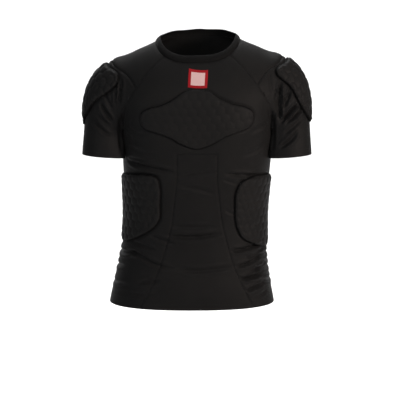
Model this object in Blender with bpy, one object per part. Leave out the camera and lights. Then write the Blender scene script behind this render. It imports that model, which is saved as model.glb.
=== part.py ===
"""Short-sleeved padded compression shirt, kept in the hollow shape it has when worn.

Sizes are in millimetres until a mesh is made. +Z is up, the chest faces -Y, and the origin lies at
the base of the neck, midway between the shoulders. The cloth follows a smooth general figure: a
torso and two hanging arms, each given by a short table of sections. Every panel is an outline of
shared seam lines on that figure, filled with triangles and thickened inwards. Every pad is made
from the points of the panel under it, moved out.
"""

import math
from typing import NamedTuple

import bpy
import numpy as np
from mathutils import Vector
from mathutils.geometry import delaunay_2d_cdt

MILLIMETRE = 0.001

# Thickness of the cloth and of what is sewn on it.
CLOTH = 1.5
SEAM_GAP = 0.3
LIFT = 0.3
PAD_EDGE = 3.4
PAD_GROOVE = 3.6
PAD_CELL = 5.8
LABEL = 0.8
COLLAR = 2.2

# Heights and lengths.
CLOTH_TOP_Z = 45.0
HEM_Z = -586.0
COLLAR_WIDTH = 16.0
CENTRE_TOP_Z = -240.0
CELL_PITCH = 20.0

# Spacing of the points that fill a panel.
BODY_SPACING = 23.0
BACK_SPACING = 26.0
SLEEVE_SPACING = 17.0
YOKE_SPACING = 17.0
SEAM_SPACING = 14.5
HEM_SPACING = 21.0
NECK_SPACING = 13.0
PATCH_SPACING = 11.5
FOLD_SPACING = 15.0
# Least distances that keep slivers out of a panel, the first two as shares of its spacing.
FILL_TO_OUTLINE = 0.42
FILL_TO_POINT = 0.52
CELL_TO_OUTLINE = 5.0
FOLD_TO_PATCH = 4.0
FOLD_TO_POINT = 6.5


class TorsoSection(NamedTuple):
    """One level of the torso: its half width, and how far it reaches to the front and back."""

    z: float
    half_width: float
    front: float
    back: float
    roundness: float


TORSO = (
    TorsoSection(-600, 189.5, 104, 121, 2.4),
    TorsoSection(-545, 179.0, 103, 114, 2.35),
    TorsoSection(-495, 169.3, 100, 101, 2.3),
    TorsoSection(-445, 161.8, 97, 92, 2.3),
    TorsoSection(-396, 158.7, 96, 90, 2.3),
    TorsoSection(-333, 161.0, 101, 97, 2.35),
    TorsoSection(-272, 165.5, 108, 108, 2.5),
    TorsoSection(-209, 168.0, 113, 116, 2.75),
    TorsoSection(-182, 169.5, 115, 118, 2.85),
    TorsoSection(-140, 173.0, 113, 118, 2.85),
    TorsoSection(-90, 176.0, 104, 112, 2.8),
    TorsoSection(-50, 180.0, 92, 106, 2.7),
    TorsoSection(0, 186.0, 75, 97, 2.6),
    TorsoSection(40, 186.0, 66, 92, 2.6),
)
WIDEST_Y = 16.0
SHOULDER_ROUNDING = 70.0


class ShoulderPoint(NamedTuple):
    """Height of the shoulder line at a distance from the middle."""

    x: float
    z: float


SHOULDER_LINE = (
    ShoulderPoint(0, 16),
    ShoulderPoint(60, 12),
    ShoulderPoint(83, 6),
    ShoulderPoint(95, 1.5),
    ShoulderPoint(120, -9),
    ShoulderPoint(142, -15),
    ShoulderPoint(162, -17.5),
    ShoulderPoint(187, -13),
    ShoulderPoint(210, -24),
    ShoulderPoint(260, -75),
)
SHOULDER_SLOPE = 0.94
RIDGE_Y = 14.0
RIDGE_RADIUS_FRONT = 95.0
RIDGE_RADIUS_BACK = 300.0

NECK_HALF_WIDTH = 66.0
NECK_HALF_DEPTH = 60.0
NECK_Y = 8.0
NECK_FILLET = 30.0

# The upper arm is an ellipsoid over a tube, pressed flat where it lies beside the torso.
ARM_CENTRE = (183.0, 5.0, -155.0)
ARM_RADII = (68.0, 60.0, 111.5)
ARM_INNER = 148.0
ARM_GAP = 3.0
ARM_MERGE = 60.0
ARM_ROUNDING = 8.0
CUFF_OUTER = 255.0
CUFF_HALF_DEPTH = 50.0
CUFF_Y = -16.0
CUFF_LEVEL = -262.0
CUFF_MIDDLE_X = 208.0
CUFF_MIDDLE_Z = -252.0
CUFF_SLOPE = 0.07
ARM_END = -300.0
ARMPIT_TOP = -155.0
ARMPIT_FOOT = -196.0


# How softly the arm runs into the torso: hard below the armpit, round above it.
BLEND_FOOT = -192.0
BLEND_TOP = -112.0
BLEND_LOW = 1.0
BLEND_HIGH = 42.0


class Sway(NamedTuple):
    """Sideways lean of the body at a height."""

    z: float
    x: float


SWAY = (
    Sway(-600, -12.0),
    Sway(-545, -11.0),
    Sway(-495, -9.5),
    Sway(-445, -6.0),
    Sway(-396, -4.0),
    Sway(-333, -2.5),
    Sway(-272, -0.5),
    Sway(-200, 0.0),
    Sway(-60, 0.0),
    Sway(60, 4.0),
)
SHOULDER_TILT = 0.027
TILT_FOOT = -260.0
TILT_TOP = -90.0


class Curve:
    """A smooth curve through one column of a table, against a column that rises."""

    def __init__(self, rows, column, against="z"):
        self.knots = np.array([getattr(row, against) for row in rows], float)
        self.values = np.array([getattr(row, column) for row in rows], float)
        self.slopes = np.gradient(self.values, self.knots)

    def __call__(self, at):
        cell = np.clip(np.searchsorted(self.knots, at) - 1, 0, len(self.knots) - 2)
        width = self.knots[cell + 1] - self.knots[cell]
        t = np.clip((at - self.knots[cell]) / width, 0, 1)
        left = 1 - t
        start = (1 + 2 * t) * left**2 * self.values[cell] + t * left**2 * width * self.slopes[cell]
        end = self.values[cell + 1] * (3 - 2 * t) - left * width * self.slopes[cell + 1]
        return start + t * t * end


TORSO_HALF = Curve(TORSO, "half_width")
TORSO_FRONT = Curve(TORSO, "front")
TORSO_BACK = Curve(TORSO, "back")
TORSO_ROUND = Curve(TORSO, "roundness")
SHOULDER_TOP = Curve(SHOULDER_LINE, "z", against="x")
SWAY_X = Curve(SWAY, "x")


def ease(value, low, high):
    """0 below low, 1 above high and a soft step between."""
    t = np.clip((value - low) / (high - low), 0, 1)
    return t * t * (3 - 2 * t)


def soft_max(a, b, rounding):
    """The larger of two distances, rounded where they meet."""
    return np.maximum(a, b) + np.maximum(rounding - np.abs(a - b), 0) ** 2 / (4 * rounding)


def soft_min(a, b, rounding):
    """The smaller of two distances, rounded where they meet."""
    return -soft_max(-a, -b, rounding)


def beyond(length, norm):
    """Distance past a surface that lies where norm is 1, along the ray from its centre."""
    return length * (1 - 1 / np.maximum(norm, 1e-6))


def torso_distance(points):
    """Distance outside the torso with its shoulders and neck."""
    x, y, z = np.abs(points[:, 0]), points[:, 1] - WIDEST_Y, points[:, 2]
    deep = np.where(y < 0, TORSO_FRONT(z) + WIDEST_Y, TORSO_BACK(z) - WIDEST_Y)
    power = TORSO_ROUND(z)
    norm = ((x / TORSO_HALF(z)) ** power + np.abs(y / deep) ** power) ** (1 / power)
    wall = beyond(np.hypot(x, y), norm)
    off_ridge = points[:, 1] - RIDGE_Y
    radius = np.where(off_ridge < 0, RIDGE_RADIUS_FRONT, RIDGE_RADIUS_BACK)
    roof = (z - SHOULDER_TOP(x) + off_ridge**2 / (2 * radius)) * SHOULDER_SLOPE
    neck_norm = np.hypot(x / NECK_HALF_WIDTH, (points[:, 1] - NECK_Y) / NECK_HALF_DEPTH)
    neck = beyond(np.hypot(x, points[:, 1] - NECK_Y), neck_norm)
    return soft_min(soft_max(wall, roof, SHOULDER_ROUNDING), neck, NECK_FILLET)


def arm_section(z):
    """Middle and half size of the arm's level cut at a height: x, half x, y, half y."""
    centre_x, centre_y, centre_z = ARM_CENTRE
    reach_x, reach_y, _ = ARM_RADII
    down = 1 - ease(z, CUFF_LEVEL, centre_z)
    outer = centre_x + reach_x + (CUFF_OUTER - centre_x - reach_x) * down
    inner = ARM_INNER + (centre_x - reach_x - ARM_INNER) * ease(z, ARMPIT_FOOT, ARMPIT_TOP)
    middle_y = centre_y + (CUFF_Y - centre_y) * down
    half_y = reach_y + (CUFF_HALF_DEPTH - reach_y) * down
    return (outer + inner) / 2, (outer - inner) / 2, middle_y, half_y


def arm_distance(points, torso):
    """Distance outside the hanging arm, which keeps clear of the torso below the armpit."""
    x, y, z = np.abs(points[:, 0]), points[:, 1], points[:, 2]
    middle_x, half_x, middle_y, half_y = arm_section(z)
    above = np.maximum(z - ARM_CENTRE[2], 0)
    sideways, along = x - middle_x, y - middle_y
    norm = np.sqrt((sideways / half_x) ** 2 + (along / half_y) ** 2 + (above / ARM_RADII[2]) ** 2)
    length = np.sqrt(sideways**2 + along**2 + above**2)
    gap = ARM_GAP - (ARM_GAP + ARM_MERGE) * ease(z, ARMPIT_FOOT, ARMPIT_TOP)
    pressed = soft_max(beyond(length, norm), gap - torso, ARM_ROUNDING)
    return pressed + np.maximum(ARM_END - z, 0)


def form_distance(points):
    """Distance outside the whole figure."""
    rounding = BLEND_LOW + (BLEND_HIGH - BLEND_LOW) * ease(points[:, 2], BLEND_FOOT, BLEND_TOP)
    torso = torso_distance(points)
    return soft_min(torso, arm_distance(points, torso), rounding)


def form_normals(points):
    """Outward unit normals of the figure."""
    step = 0.25
    slopes = []
    for axis in range(3):
        move = np.zeros(3)
        move[axis] = step
        slopes.append(form_distance(points + move) - form_distance(points - move))
    return unit(np.column_stack(slopes))


def unit(vectors):
    """Vectors scaled to length 1."""
    return vectors / np.maximum(np.linalg.norm(vectors, axis=-1, keepdims=True), 1e-9)


def march(origins, directions, leaving):
    """The first point of each ray that leaves the figure, or enters it."""
    sign = 1.0 if leaving else -1.0
    least, share, steps, halvings = 0.3, 0.4, 120, 26
    at = np.zeros(len(origins))
    last = np.full(len(origins), least)
    for _ in range(steps):
        value = sign * form_distance(origins + directions * at[:, None])
        step = np.where(value < 0, np.maximum(-share * value, least), 0)
        at += step
        last = np.where(step > 0, step, last)
    low, high = at - last, at.copy()
    for _ in range(halvings):
        middle = (low + high) / 2
        outside = sign * form_distance(origins + directions * middle[:, None]) > 0
        high = np.where(outside, middle, high)
        low = np.where(outside, low, middle)
    return origins + directions * high[:, None]


FRONT, BACK = -1.0, 1.0
FAR_Y = 260.0


def seen_at(x, z, facing):
    """The point of the figure that shows at (x, z), from the front or from behind."""
    x, z = np.atleast_1d(x).astype(float), np.atleast_1d(z).astype(float)
    origins = np.column_stack([x, np.full(len(x), facing * FAR_Y), z])
    return march(origins, np.tile([0.0, -facing, 0.0], (len(x), 1)), leaving=False)


def seen_from_above(x, y):
    """The point of the figure that shows at (x, y), from above."""
    origins = np.column_stack([x, y, np.full(len(x), CLOTH_TOP_Z)])
    return march(origins, np.tile([0.0, 0.0, -1.0], (len(x), 1)), leaving=False)


class BodyChart:
    """The body laid flat: length round the chest against height, seen from one side."""

    CENTRE_Y = 6.0
    DOME_Z = -200.0
    DOME_RADIUS = 140.0

    def __init__(self, facing):
        self.facing = facing
        turns = np.linspace(-math.pi, math.pi, 241)
        level = np.full(len(turns), self.DOME_Z)
        ring = self.cast(turns, level)
        length = np.concatenate([[0], np.cumsum(np.linalg.norm(np.diff(ring, axis=0), axis=1))])
        self.turns, self.lengths = turns, length - length[len(length) // 2]

    def cast(self, turn, rise):
        """Points of the figure at a turn round the body and a height in the chart."""
        lift = np.maximum(rise - self.DOME_Z, 0) / self.DOME_RADIUS
        origins = np.column_stack(
            [0 * turn, 0 * turn + self.CENTRE_Y, np.minimum(rise, self.DOME_Z)]
        )
        directions = np.column_stack(
            [
                -self.facing * np.sin(turn) * np.cos(lift),
                self.facing * np.cos(turn) * np.cos(lift),
                np.sin(lift),
            ]
        )
        return march(origins, directions, leaving=True)

    def lay(self, points):
        """Chart places of points on the body."""
        across, away = -self.facing * points[:, 0], self.facing * (points[:, 1] - self.CENTRE_Y)
        turn = np.arctan2(across, away)
        over = points[:, 2] - self.DOME_Z
        dome = np.arctan2(over, np.hypot(across, away)) * self.DOME_RADIUS
        rise = self.DOME_Z + np.where(over > 0, dome, over)
        return np.column_stack([np.interp(turn, self.turns, self.lengths), rise])

    def raise_up(self, flat):
        """Points of the body at chart places."""
        return self.cast(np.interp(flat[:, 0], self.lengths, self.turns), flat[:, 1])


class SpinePoint(NamedTuple):
    """Middle of the sleeve on one of the planes that fan out from the pivot."""

    angle: float
    reach: float
    y: float


SLEEVE_SPINE = (
    SpinePoint(8, 172, -16),
    SpinePoint(22, 181, -14),
    SpinePoint(30, 194, -9),
    SpinePoint(36, 207, -4),
    SpinePoint(42, 228, 0),
    SpinePoint(52, 245, 5),
    SpinePoint(62, 250, 6),
    SpinePoint(72, 252, 6),
    SpinePoint(88, 262, 6),
)


SPINE_REACH = Curve(SLEEVE_SPINE, "reach", against="angle")
SPINE_Y = Curve(SLEEVE_SPINE, "y", against="angle")


class SleeveChart:
    """The sleeve and yoke laid flat: length round the arm against length along it."""

    PIVOT_X = 40.0
    PIVOT_Z = -300.0
    ROUND_RADIUS = 58.0
    ALONG_RADIUS = 265.0

    def spine(self, angle):
        """Reach from the pivot and sideways place of the spine."""
        degrees = np.degrees(angle)
        return SPINE_REACH(degrees), SPINE_Y(degrees)

    def lay(self, points):
        """Chart places of points on the sleeve."""
        over, up = points[:, 0] - self.PIVOT_X, points[:, 2] - self.PIVOT_Z
        angle = np.arctan2(up, over)
        reach, middle = self.spine(angle)
        turn = np.arctan2(points[:, 1] - middle, np.hypot(over, up) - reach)
        return np.column_stack([turn * self.ROUND_RADIUS, angle * self.ALONG_RADIUS])

    def raise_up(self, flat):
        """Points of the sleeve at chart places."""
        turn, angle = flat[:, 0] / self.ROUND_RADIUS, flat[:, 1] / self.ALONG_RADIUS
        reach, middle = self.spine(angle)
        away_x, away_z = np.cos(angle), np.sin(angle)
        origins = np.column_stack(
            [self.PIVOT_X + reach * away_x, middle, self.PIVOT_Z + reach * away_z]
        )
        directions = np.column_stack([np.cos(turn) * away_x, np.sin(turn), np.cos(turn) * away_z])
        return march(origins, directions, leaving=True)


def resample(points, spacing):
    """Points at about the same distance along a polyline, its ends kept."""
    steps = np.linalg.norm(np.diff(points, axis=0), axis=1)
    length = np.concatenate([[0], np.cumsum(steps)])
    count = max(int(round(length[-1] / spacing)), 1)
    at = np.linspace(0, length[-1], count + 1)
    return np.column_stack([np.interp(at, length, points[:, k]) for k in range(points.shape[1])])


def smooth_line(points, dense=12):
    """A smooth curve through the points of a table, as many short steps."""
    points = np.asarray(points, float)
    slopes = np.gradient(points, axis=0)
    pieces = []
    for k in range(len(points) - 1):
        t = np.linspace(0, 1, dense, endpoint=k == len(points) - 2)[:, None]
        pieces.append(
            (1 + 2 * t) * (1 - t) ** 2 * points[k]
            + t * (1 - t) ** 2 * slopes[k]
            + t * t * (3 - 2 * t) * points[k + 1]
            + t * t * (t - 1) * slopes[k + 1]
        )
    return np.vstack(pieces)


def smooth_loop(points, spacing):
    """Points a spacing apart on a smooth closed curve through the points of a table."""
    dense = 12
    wrapped = np.vstack([points[-2:], points, points[:3]])
    line = smooth_line(wrapped, dense)
    return resample(line[2 * dense : (2 + len(points)) * dense + 1], spacing)[:-1]


class FrontPoint(NamedTuple):
    """A place seen from the front: distance from the middle, and height."""

    x: float
    z: float


# Seam from the collar to the armpit, on the front and on the back.
RAGLAN_FRONT = (
    FrontPoint(90, -47),
    FrontPoint(107, -64),
    FrontPoint(122, -82),
    FrontPoint(133, -96),
    FrontPoint(149, -122),
    FrontPoint(161, -143),
    FrontPoint(165, -158),
)
RAGLAN_BACK = (
    FrontPoint(92, -31),
    FrontPoint(112, -60),
    FrontPoint(130, -92),
    FrontPoint(145, -118),
    FrontPoint(158, -143),
    FrontPoint(165, -163),
)
UNDERARM_FRONT = (-46.0, -31.0, -16.0, 0.0)
UNDERARM_BACK = (44.0, 30.0, 15.0)
RAGLAN_TOP_X = 70.0
RAGLAN_TOP_BACK_Y = 46.0
YOKE_JOIN_Z = -95.0
YOKE_TOP = (189.0, 10.0)
YOKE_FRONT = (
    FrontPoint(184, -46),
    FrontPoint(172, -56),
    FrontPoint(158, -64),
    FrontPoint(146, -76),
)
YOKE_BACK = (
    FrontPoint(184, -45),
    FrontPoint(172, -55),
    FrontPoint(158, -66),
    FrontPoint(146, -80),
)
# The collar seam, from the front middle to the side and on to the back middle.
NECKLINE_FRONT = (
    FrontPoint(0, -44),
    FrontPoint(18, -44),
    FrontPoint(36, -42.5),
    FrontPoint(52, -38.5),
    FrontPoint(67, -32),
    FrontPoint(79, -23),
    FrontPoint(88, -12),
    FrontPoint(93.5, -2),
)
NECKLINE_SIDE = (95.0, 8.0)
NECKLINE_BACK_Y = 74.0
# Seam of the belly panel, from its top corner to the hem.
CENTRE_SEAM = (
    FrontPoint(44, -240),
    FrontPoint(44, -300),
    FrontPoint(50, -352),
    FrontPoint(56, -398),
    FrontPoint(68, -446),
    FrontPoint(83, -494),
    FrontPoint(103, -540),
    FrontPoint(128, -586),
)


class SidePoint(NamedTuple):
    """The side seam: turn from the front middle towards the back, in degrees, at a height."""

    z: float
    turn: float


SIDE_SEAM = (
    SidePoint(-600, 118),
    SidePoint(-420, 119),
    SidePoint(-290, 118),
    SidePoint(-240, 108),
    SidePoint(-199, 90),
)
SIDE_TURN = Curve(SIDE_SEAM, "turn")


class Fold(NamedTuple):
    """A crease: the side it shows on, its path as (x, z) places, its depth and half width."""

    facing: float
    path: tuple
    depth: float
    width: float


FOLDS = (
    # Creases of the +X sleeve, from the pad down to the armpit.
    Fold(FRONT, ((184, -84), (180, -122), (181, -168)), 3.6, 6.5),
    Fold(FRONT, ((205, -101), (199, -122), (189, -144)), 2.6, 6.0),
    Fold(FRONT, ((222, -136), (204, -153), (184, -174)), 3.6, 6.5),
    Fold(FRONT, ((233, -147), (215, -161), (194, -179)), 3.0, 6.5),
    Fold(FRONT, ((221, -194), (206, -211), (186, -227)), 2.4, 6.5),
    # Creases of the -X sleeve.
    Fold(FRONT, ((-167, -82), (-167, -101), (-171, -136)), 3.4, 6.5),
    Fold(FRONT, ((-179, -88), (-178, -112), (-180, -134)), 2.4, 6.0),
    Fold(FRONT, ((-211, -134), (-202, -149), (-187, -172)), 3.6, 6.5),
    Fold(FRONT, ((-229, -169), (-214, -185), (-187, -203)), 2.6, 6.5),
    # Creases under the chest and over the belly.
    Fold(FRONT, ((-146, -258), (-108, -269), (-62, -277)), 3.6, 7.5),
    Fold(FRONT, ((60, -283), (96, -288), (132, -291)), 3.0, 7.0),
    Fold(FRONT, ((-100, -425), (-76, -432), (-66, -436)), 2.4, 7.5),
    Fold(FRONT, ((-140, -474), (-118, -478), (-94, -487)), 2.8, 7.5),
    Fold(FRONT, ((76, -457), (104, -453), (134, -448)), 3.0, 7.0),
    Fold(FRONT, ((102, -519), (122, -517), (144, -513)), 3.4, 7.0),
    # Similar ones on the back.
    Fold(BACK, ((176, -96), (184, -130), (182, -168)), 3.2, 7.0),
    Fold(BACK, ((224, -132), (208, -152), (190, -174)), 3.0, 7.0),
    Fold(BACK, ((-172, -92), (-180, -126), (-182, -166)), 3.2, 7.0),
    Fold(BACK, ((-226, -150), (-210, -164), (-190, -180)), 3.0, 7.0),
    Fold(BACK, ((-96, -392), (-10, -400), (88, -388)), 2.6, 14.0),
    Fold(BACK, ((-70, -440), (20, -447), (104, -438)), 2.2, 14.0),
)
FOLD_STEP = 12.0
FOLD_RIDGE = 0.35
FOLD_RIDGE_AT = 1.9


def along_line(points, line):
    """Distance of each point to a polyline, and how far along it the nearest place is, 0 to 1."""
    starts, steps = line[:-1], np.diff(line, axis=0)
    lengths = np.linalg.norm(steps, axis=1)
    before = np.concatenate([[0], np.cumsum(lengths)])
    nearest, share = np.full(len(points), np.inf), np.zeros(len(points))
    for k, (start, step) in enumerate(zip(starts, steps)):
        t = np.clip(((points - start) @ step) / (step @ step), 0, 1)
        gap = np.linalg.norm(points - start - t[:, None] * step, axis=1)
        closer = gap < nearest
        nearest = np.where(closer, gap, nearest)
        share = np.where(closer, (before[k] + t * lengths[k]) / before[-1], share)
    return nearest, share


def fold_line(fold):
    """The crease as points on the figure."""
    path = resample(smooth_line(fold.path), FOLD_STEP)
    return seen_at(path[:, 0], path[:, 1], fold.facing)


FOLD_LINES = [fold_line(fold) for fold in FOLDS]


def relief(points):
    """How far the cloth stands out from the figure: troughs and the ridges beside them."""
    total = np.zeros(len(points))
    for fold, line in zip(FOLDS, FOLD_LINES):
        away, share = along_line(points, line)
        fade = np.clip(4 * share * (1 - share) * 1.6, 0, 1)
        trough = np.exp(-((away / fold.width) ** 2))
        ridge = np.exp(-((away / fold.width - FOLD_RIDGE_AT) ** 2) * 2)
        total += fold.depth * fade * (FOLD_RIDGE * ridge - trough)
    return total


def valley(y):
    """The line where arm and torso meet under the armpit, for places from front to back."""

    def meeting(z):
        low, high = np.full(len(y), 140.0), np.full(len(y), 185.0)
        for _ in range(30):
            x = (low + high) / 2
            points = np.column_stack([x, y, z])
            torso = torso_distance(points)
            in_torso = torso < arm_distance(points, torso)
            low, high = np.where(in_torso, x, low), np.where(in_torso, high, x)
        return np.column_stack([(low + high) / 2, y, z])

    y = np.asarray(y, float)
    bottom, top = np.full(len(y), -235.0), np.full(len(y), -100.0)
    for _ in range(30):
        z = (bottom + top) / 2
        outside = form_distance(meeting(z)) > 0
        bottom, top = np.where(outside, z, bottom), np.where(outside, top, z)
    return meeting((bottom + top) / 2)


def mirrored(line):
    """The same line on the other side of the body, walked the other way."""
    return (line * (-1, 1, 1))[::-1]


def swayed(rows, side):
    """A front-view line of one side, before the body leans."""
    x, z = np.transpose(rows)
    return side * x - SWAY_X(z), z


class Seams:
    """Every shared line of the shirt, as points on the figure, on the +X side or round it."""

    def __init__(self):
        neck_front, neck_side, neck_back = self.neckline()
        self.neck_front = np.vstack([mirrored(neck_front)[:-1], neck_front])
        self.neck_side = neck_side
        self.neck_back = np.vstack([neck_back, mirrored(neck_back)[1:]])
        rows = resample(smooth_line(RAGLAN_FRONT), SEAM_SPACING)
        front = seen_at(rows[:, 0], rows[:, 1], FRONT)
        self.raglan_front = np.vstack([neck_side[:1], front, valley(UNDERARM_FRONT)])
        rows = resample(smooth_line(RAGLAN_BACK), SEAM_SPACING)
        back = seen_at(rows[:, 0], rows[:, 1], BACK)
        armpit = self.raglan_front[-1:]
        self.raglan_back = np.vstack([neck_side[-1:], back, valley(UNDERARM_BACK), armpit])
        self.join_front = int(np.argmin(np.abs(self.raglan_front[:, 2] - YOKE_JOIN_Z)))
        self.join_back = int(np.argmin(np.abs(self.raglan_back[:, 2] - YOKE_JOIN_Z)))
        self.yoke = self.yoke_seam()
        self.side = self.side_seam()
        self.cuff = self.cuff_ring()
        self.centre_right = self.centre_seam(1.0)
        self.centre_left = self.centre_seam(-1.0)
        top = np.linspace(self.centre_left[0, 0], self.centre_right[0, 0], 6)
        self.centre_top = seen_at(top, np.full(len(top), CENTRE_TOP_Z), FRONT)
        self.centre_top[0], self.centre_top[-1] = self.centre_left[0], self.centre_right[0]

    def neckline(self):
        """The collar seam of one side, cut where the front and back shoulder seams meet it."""
        front = seen_at(*np.transpose(NECKLINE_FRONT), FRONT)
        side_x, side_y = NECKLINE_SIDE
        turn = np.radians(np.linspace(0, 90, 10))
        deep = NECKLINE_BACK_Y - side_y
        back = seen_from_above(side_x * np.cos(turn), side_y + deep * np.sin(turn))
        line = smooth_line(np.vstack([front, back]))
        line = seen_from_above(line[:, 0], line[:, 1])
        line[0, 0] = line[-1, 0] = 0
        first = int(np.argmax(line[:, 0] > RAGLAN_TOP_X))
        last = int(np.argmax(line[:, 1] > RAGLAN_TOP_BACK_Y))
        return (
            resample(line[: first + 1], NECK_SPACING),
            resample(line[first : last + 1], NECK_SPACING),
            resample(line[last:], NECK_SPACING),
        )

    def yoke_seam(self):
        """From the front shoulder seam over the top of the shoulder to the back one."""
        chart = SleeveChart()
        over = seen_from_above(*[np.array([value]) for value in YOKE_TOP])
        line = np.vstack(
            [
                self.raglan_front[self.join_front],
                seen_at(*np.transpose(YOKE_FRONT), FRONT)[::-1],
                over,
                seen_at(*np.transpose(YOKE_BACK), BACK),
                self.raglan_back[self.join_back],
            ]
        )
        ends = line[[0, -1]]
        line = chart.raise_up(chart.lay(resample(smooth_line(line), SEAM_SPACING)))
        line[0], line[-1] = ends
        return line

    def side_seam(self):
        """From the armpit down to the hem, behind the rib pad."""
        armpit = self.raglan_front[-1]
        count = int(round((armpit[2] - HEM_Z) / HEM_SPACING))
        z = np.linspace(armpit[2], HEM_Z, count + 1)
        line = BodyChart(FRONT).cast(np.radians(SIDE_TURN(z)), z)
        line[0] = armpit
        return line

    def cuff_ring(self):
        """The open end of the sleeve, from its inner side round the front and back again."""
        turn = np.linspace(-math.pi, math.pi, 21)
        _, _, middle_y, _ = arm_section(np.full(len(turn), CUFF_MIDDLE_Z))
        origins = np.column_stack([0 * turn + CUFF_MIDDLE_X, middle_y, 0 * turn + CUFF_MIDDLE_Z])
        directions = np.column_stack([np.cos(turn), np.sin(turn), CUFF_SLOPE * np.cos(turn)])
        return march(origins, unit(directions), leaving=True)

    def centre_seam(self, side):
        """The seam of the belly panel on one side."""
        x, z = swayed(CENTRE_SEAM, side)
        path = resample(smooth_line(np.column_stack([x, z])), HEM_SPACING)
        return seen_at(path[:, 0], path[:, 1], FRONT)


def inside(points, loop):
    """Which points lie inside a closed outline."""
    x, y = points[:, 0], points[:, 1]
    result = np.zeros(len(points), bool)
    for (ax, ay), (bx, by) in zip(loop, np.roll(loop, -1, axis=0)):
        crosses = (ay > y) != (by > y)
        with np.errstate(divide="ignore", invalid="ignore"):
            at = ax + (y - ay) * (bx - ax) / (by - ay)
        result ^= crosses & (x < at)
    return result


def clearance(points, loop):
    """Distance of each point to a closed outline."""
    return along_line(points, np.vstack([loop, loop[:1]]))[0]


def lattice(loop, spacing, middle=(0.0, 0.0)):
    """Rows of points a spacing apart that cover an outline, and their row and column."""
    low, high = loop.min(axis=0) - spacing, loop.max(axis=0) + spacing
    rise = spacing * math.sqrt(3) / 2
    rows = np.arange(math.floor((low[1] - middle[1]) / rise), (high[1] - middle[1]) / rise + 1)
    steps = np.arange(math.floor((low[0] - middle[0]) / spacing), (high[0] - middle[0]) / spacing + 1)
    step, row = (grid.ravel().astype(int) for grid in np.meshgrid(steps, rows))
    x = middle[0] + (step + (row % 2) / 2) * spacing
    return np.column_stack([x, middle[1] + row * rise]), row, step


OUTLINE, GROOVE, CELL, FILL = range(4)


class Patch:
    """Something that lies on a panel: its outline in the panel's chart and its cells."""

    def __init__(self, name, loop, quilted=True):
        self.name = name
        self.loop = loop
        self.quilted = quilted

    def points(self):
        """Cell corners and cell middles inside the outline, with their kinds."""
        if not self.quilted:
            return np.zeros((0, 2)), np.zeros(0, int)
        spacing = CELL_PITCH / math.sqrt(3)
        middle = (self.loop.min(axis=0) + self.loop.max(axis=0)) / 2
        spots, row, step = lattice(self.loop[:, ::-1], spacing, middle[::-1])
        spots = spots[:, ::-1]
        kind = np.where((step - row // 2 - row) % 3 == 0, CELL, GROOVE)
        keep = inside(spots, self.loop) & (clearance(spots, self.loop) > CELL_TO_OUTLINE)
        return spots[keep], kind[keep]


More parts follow.
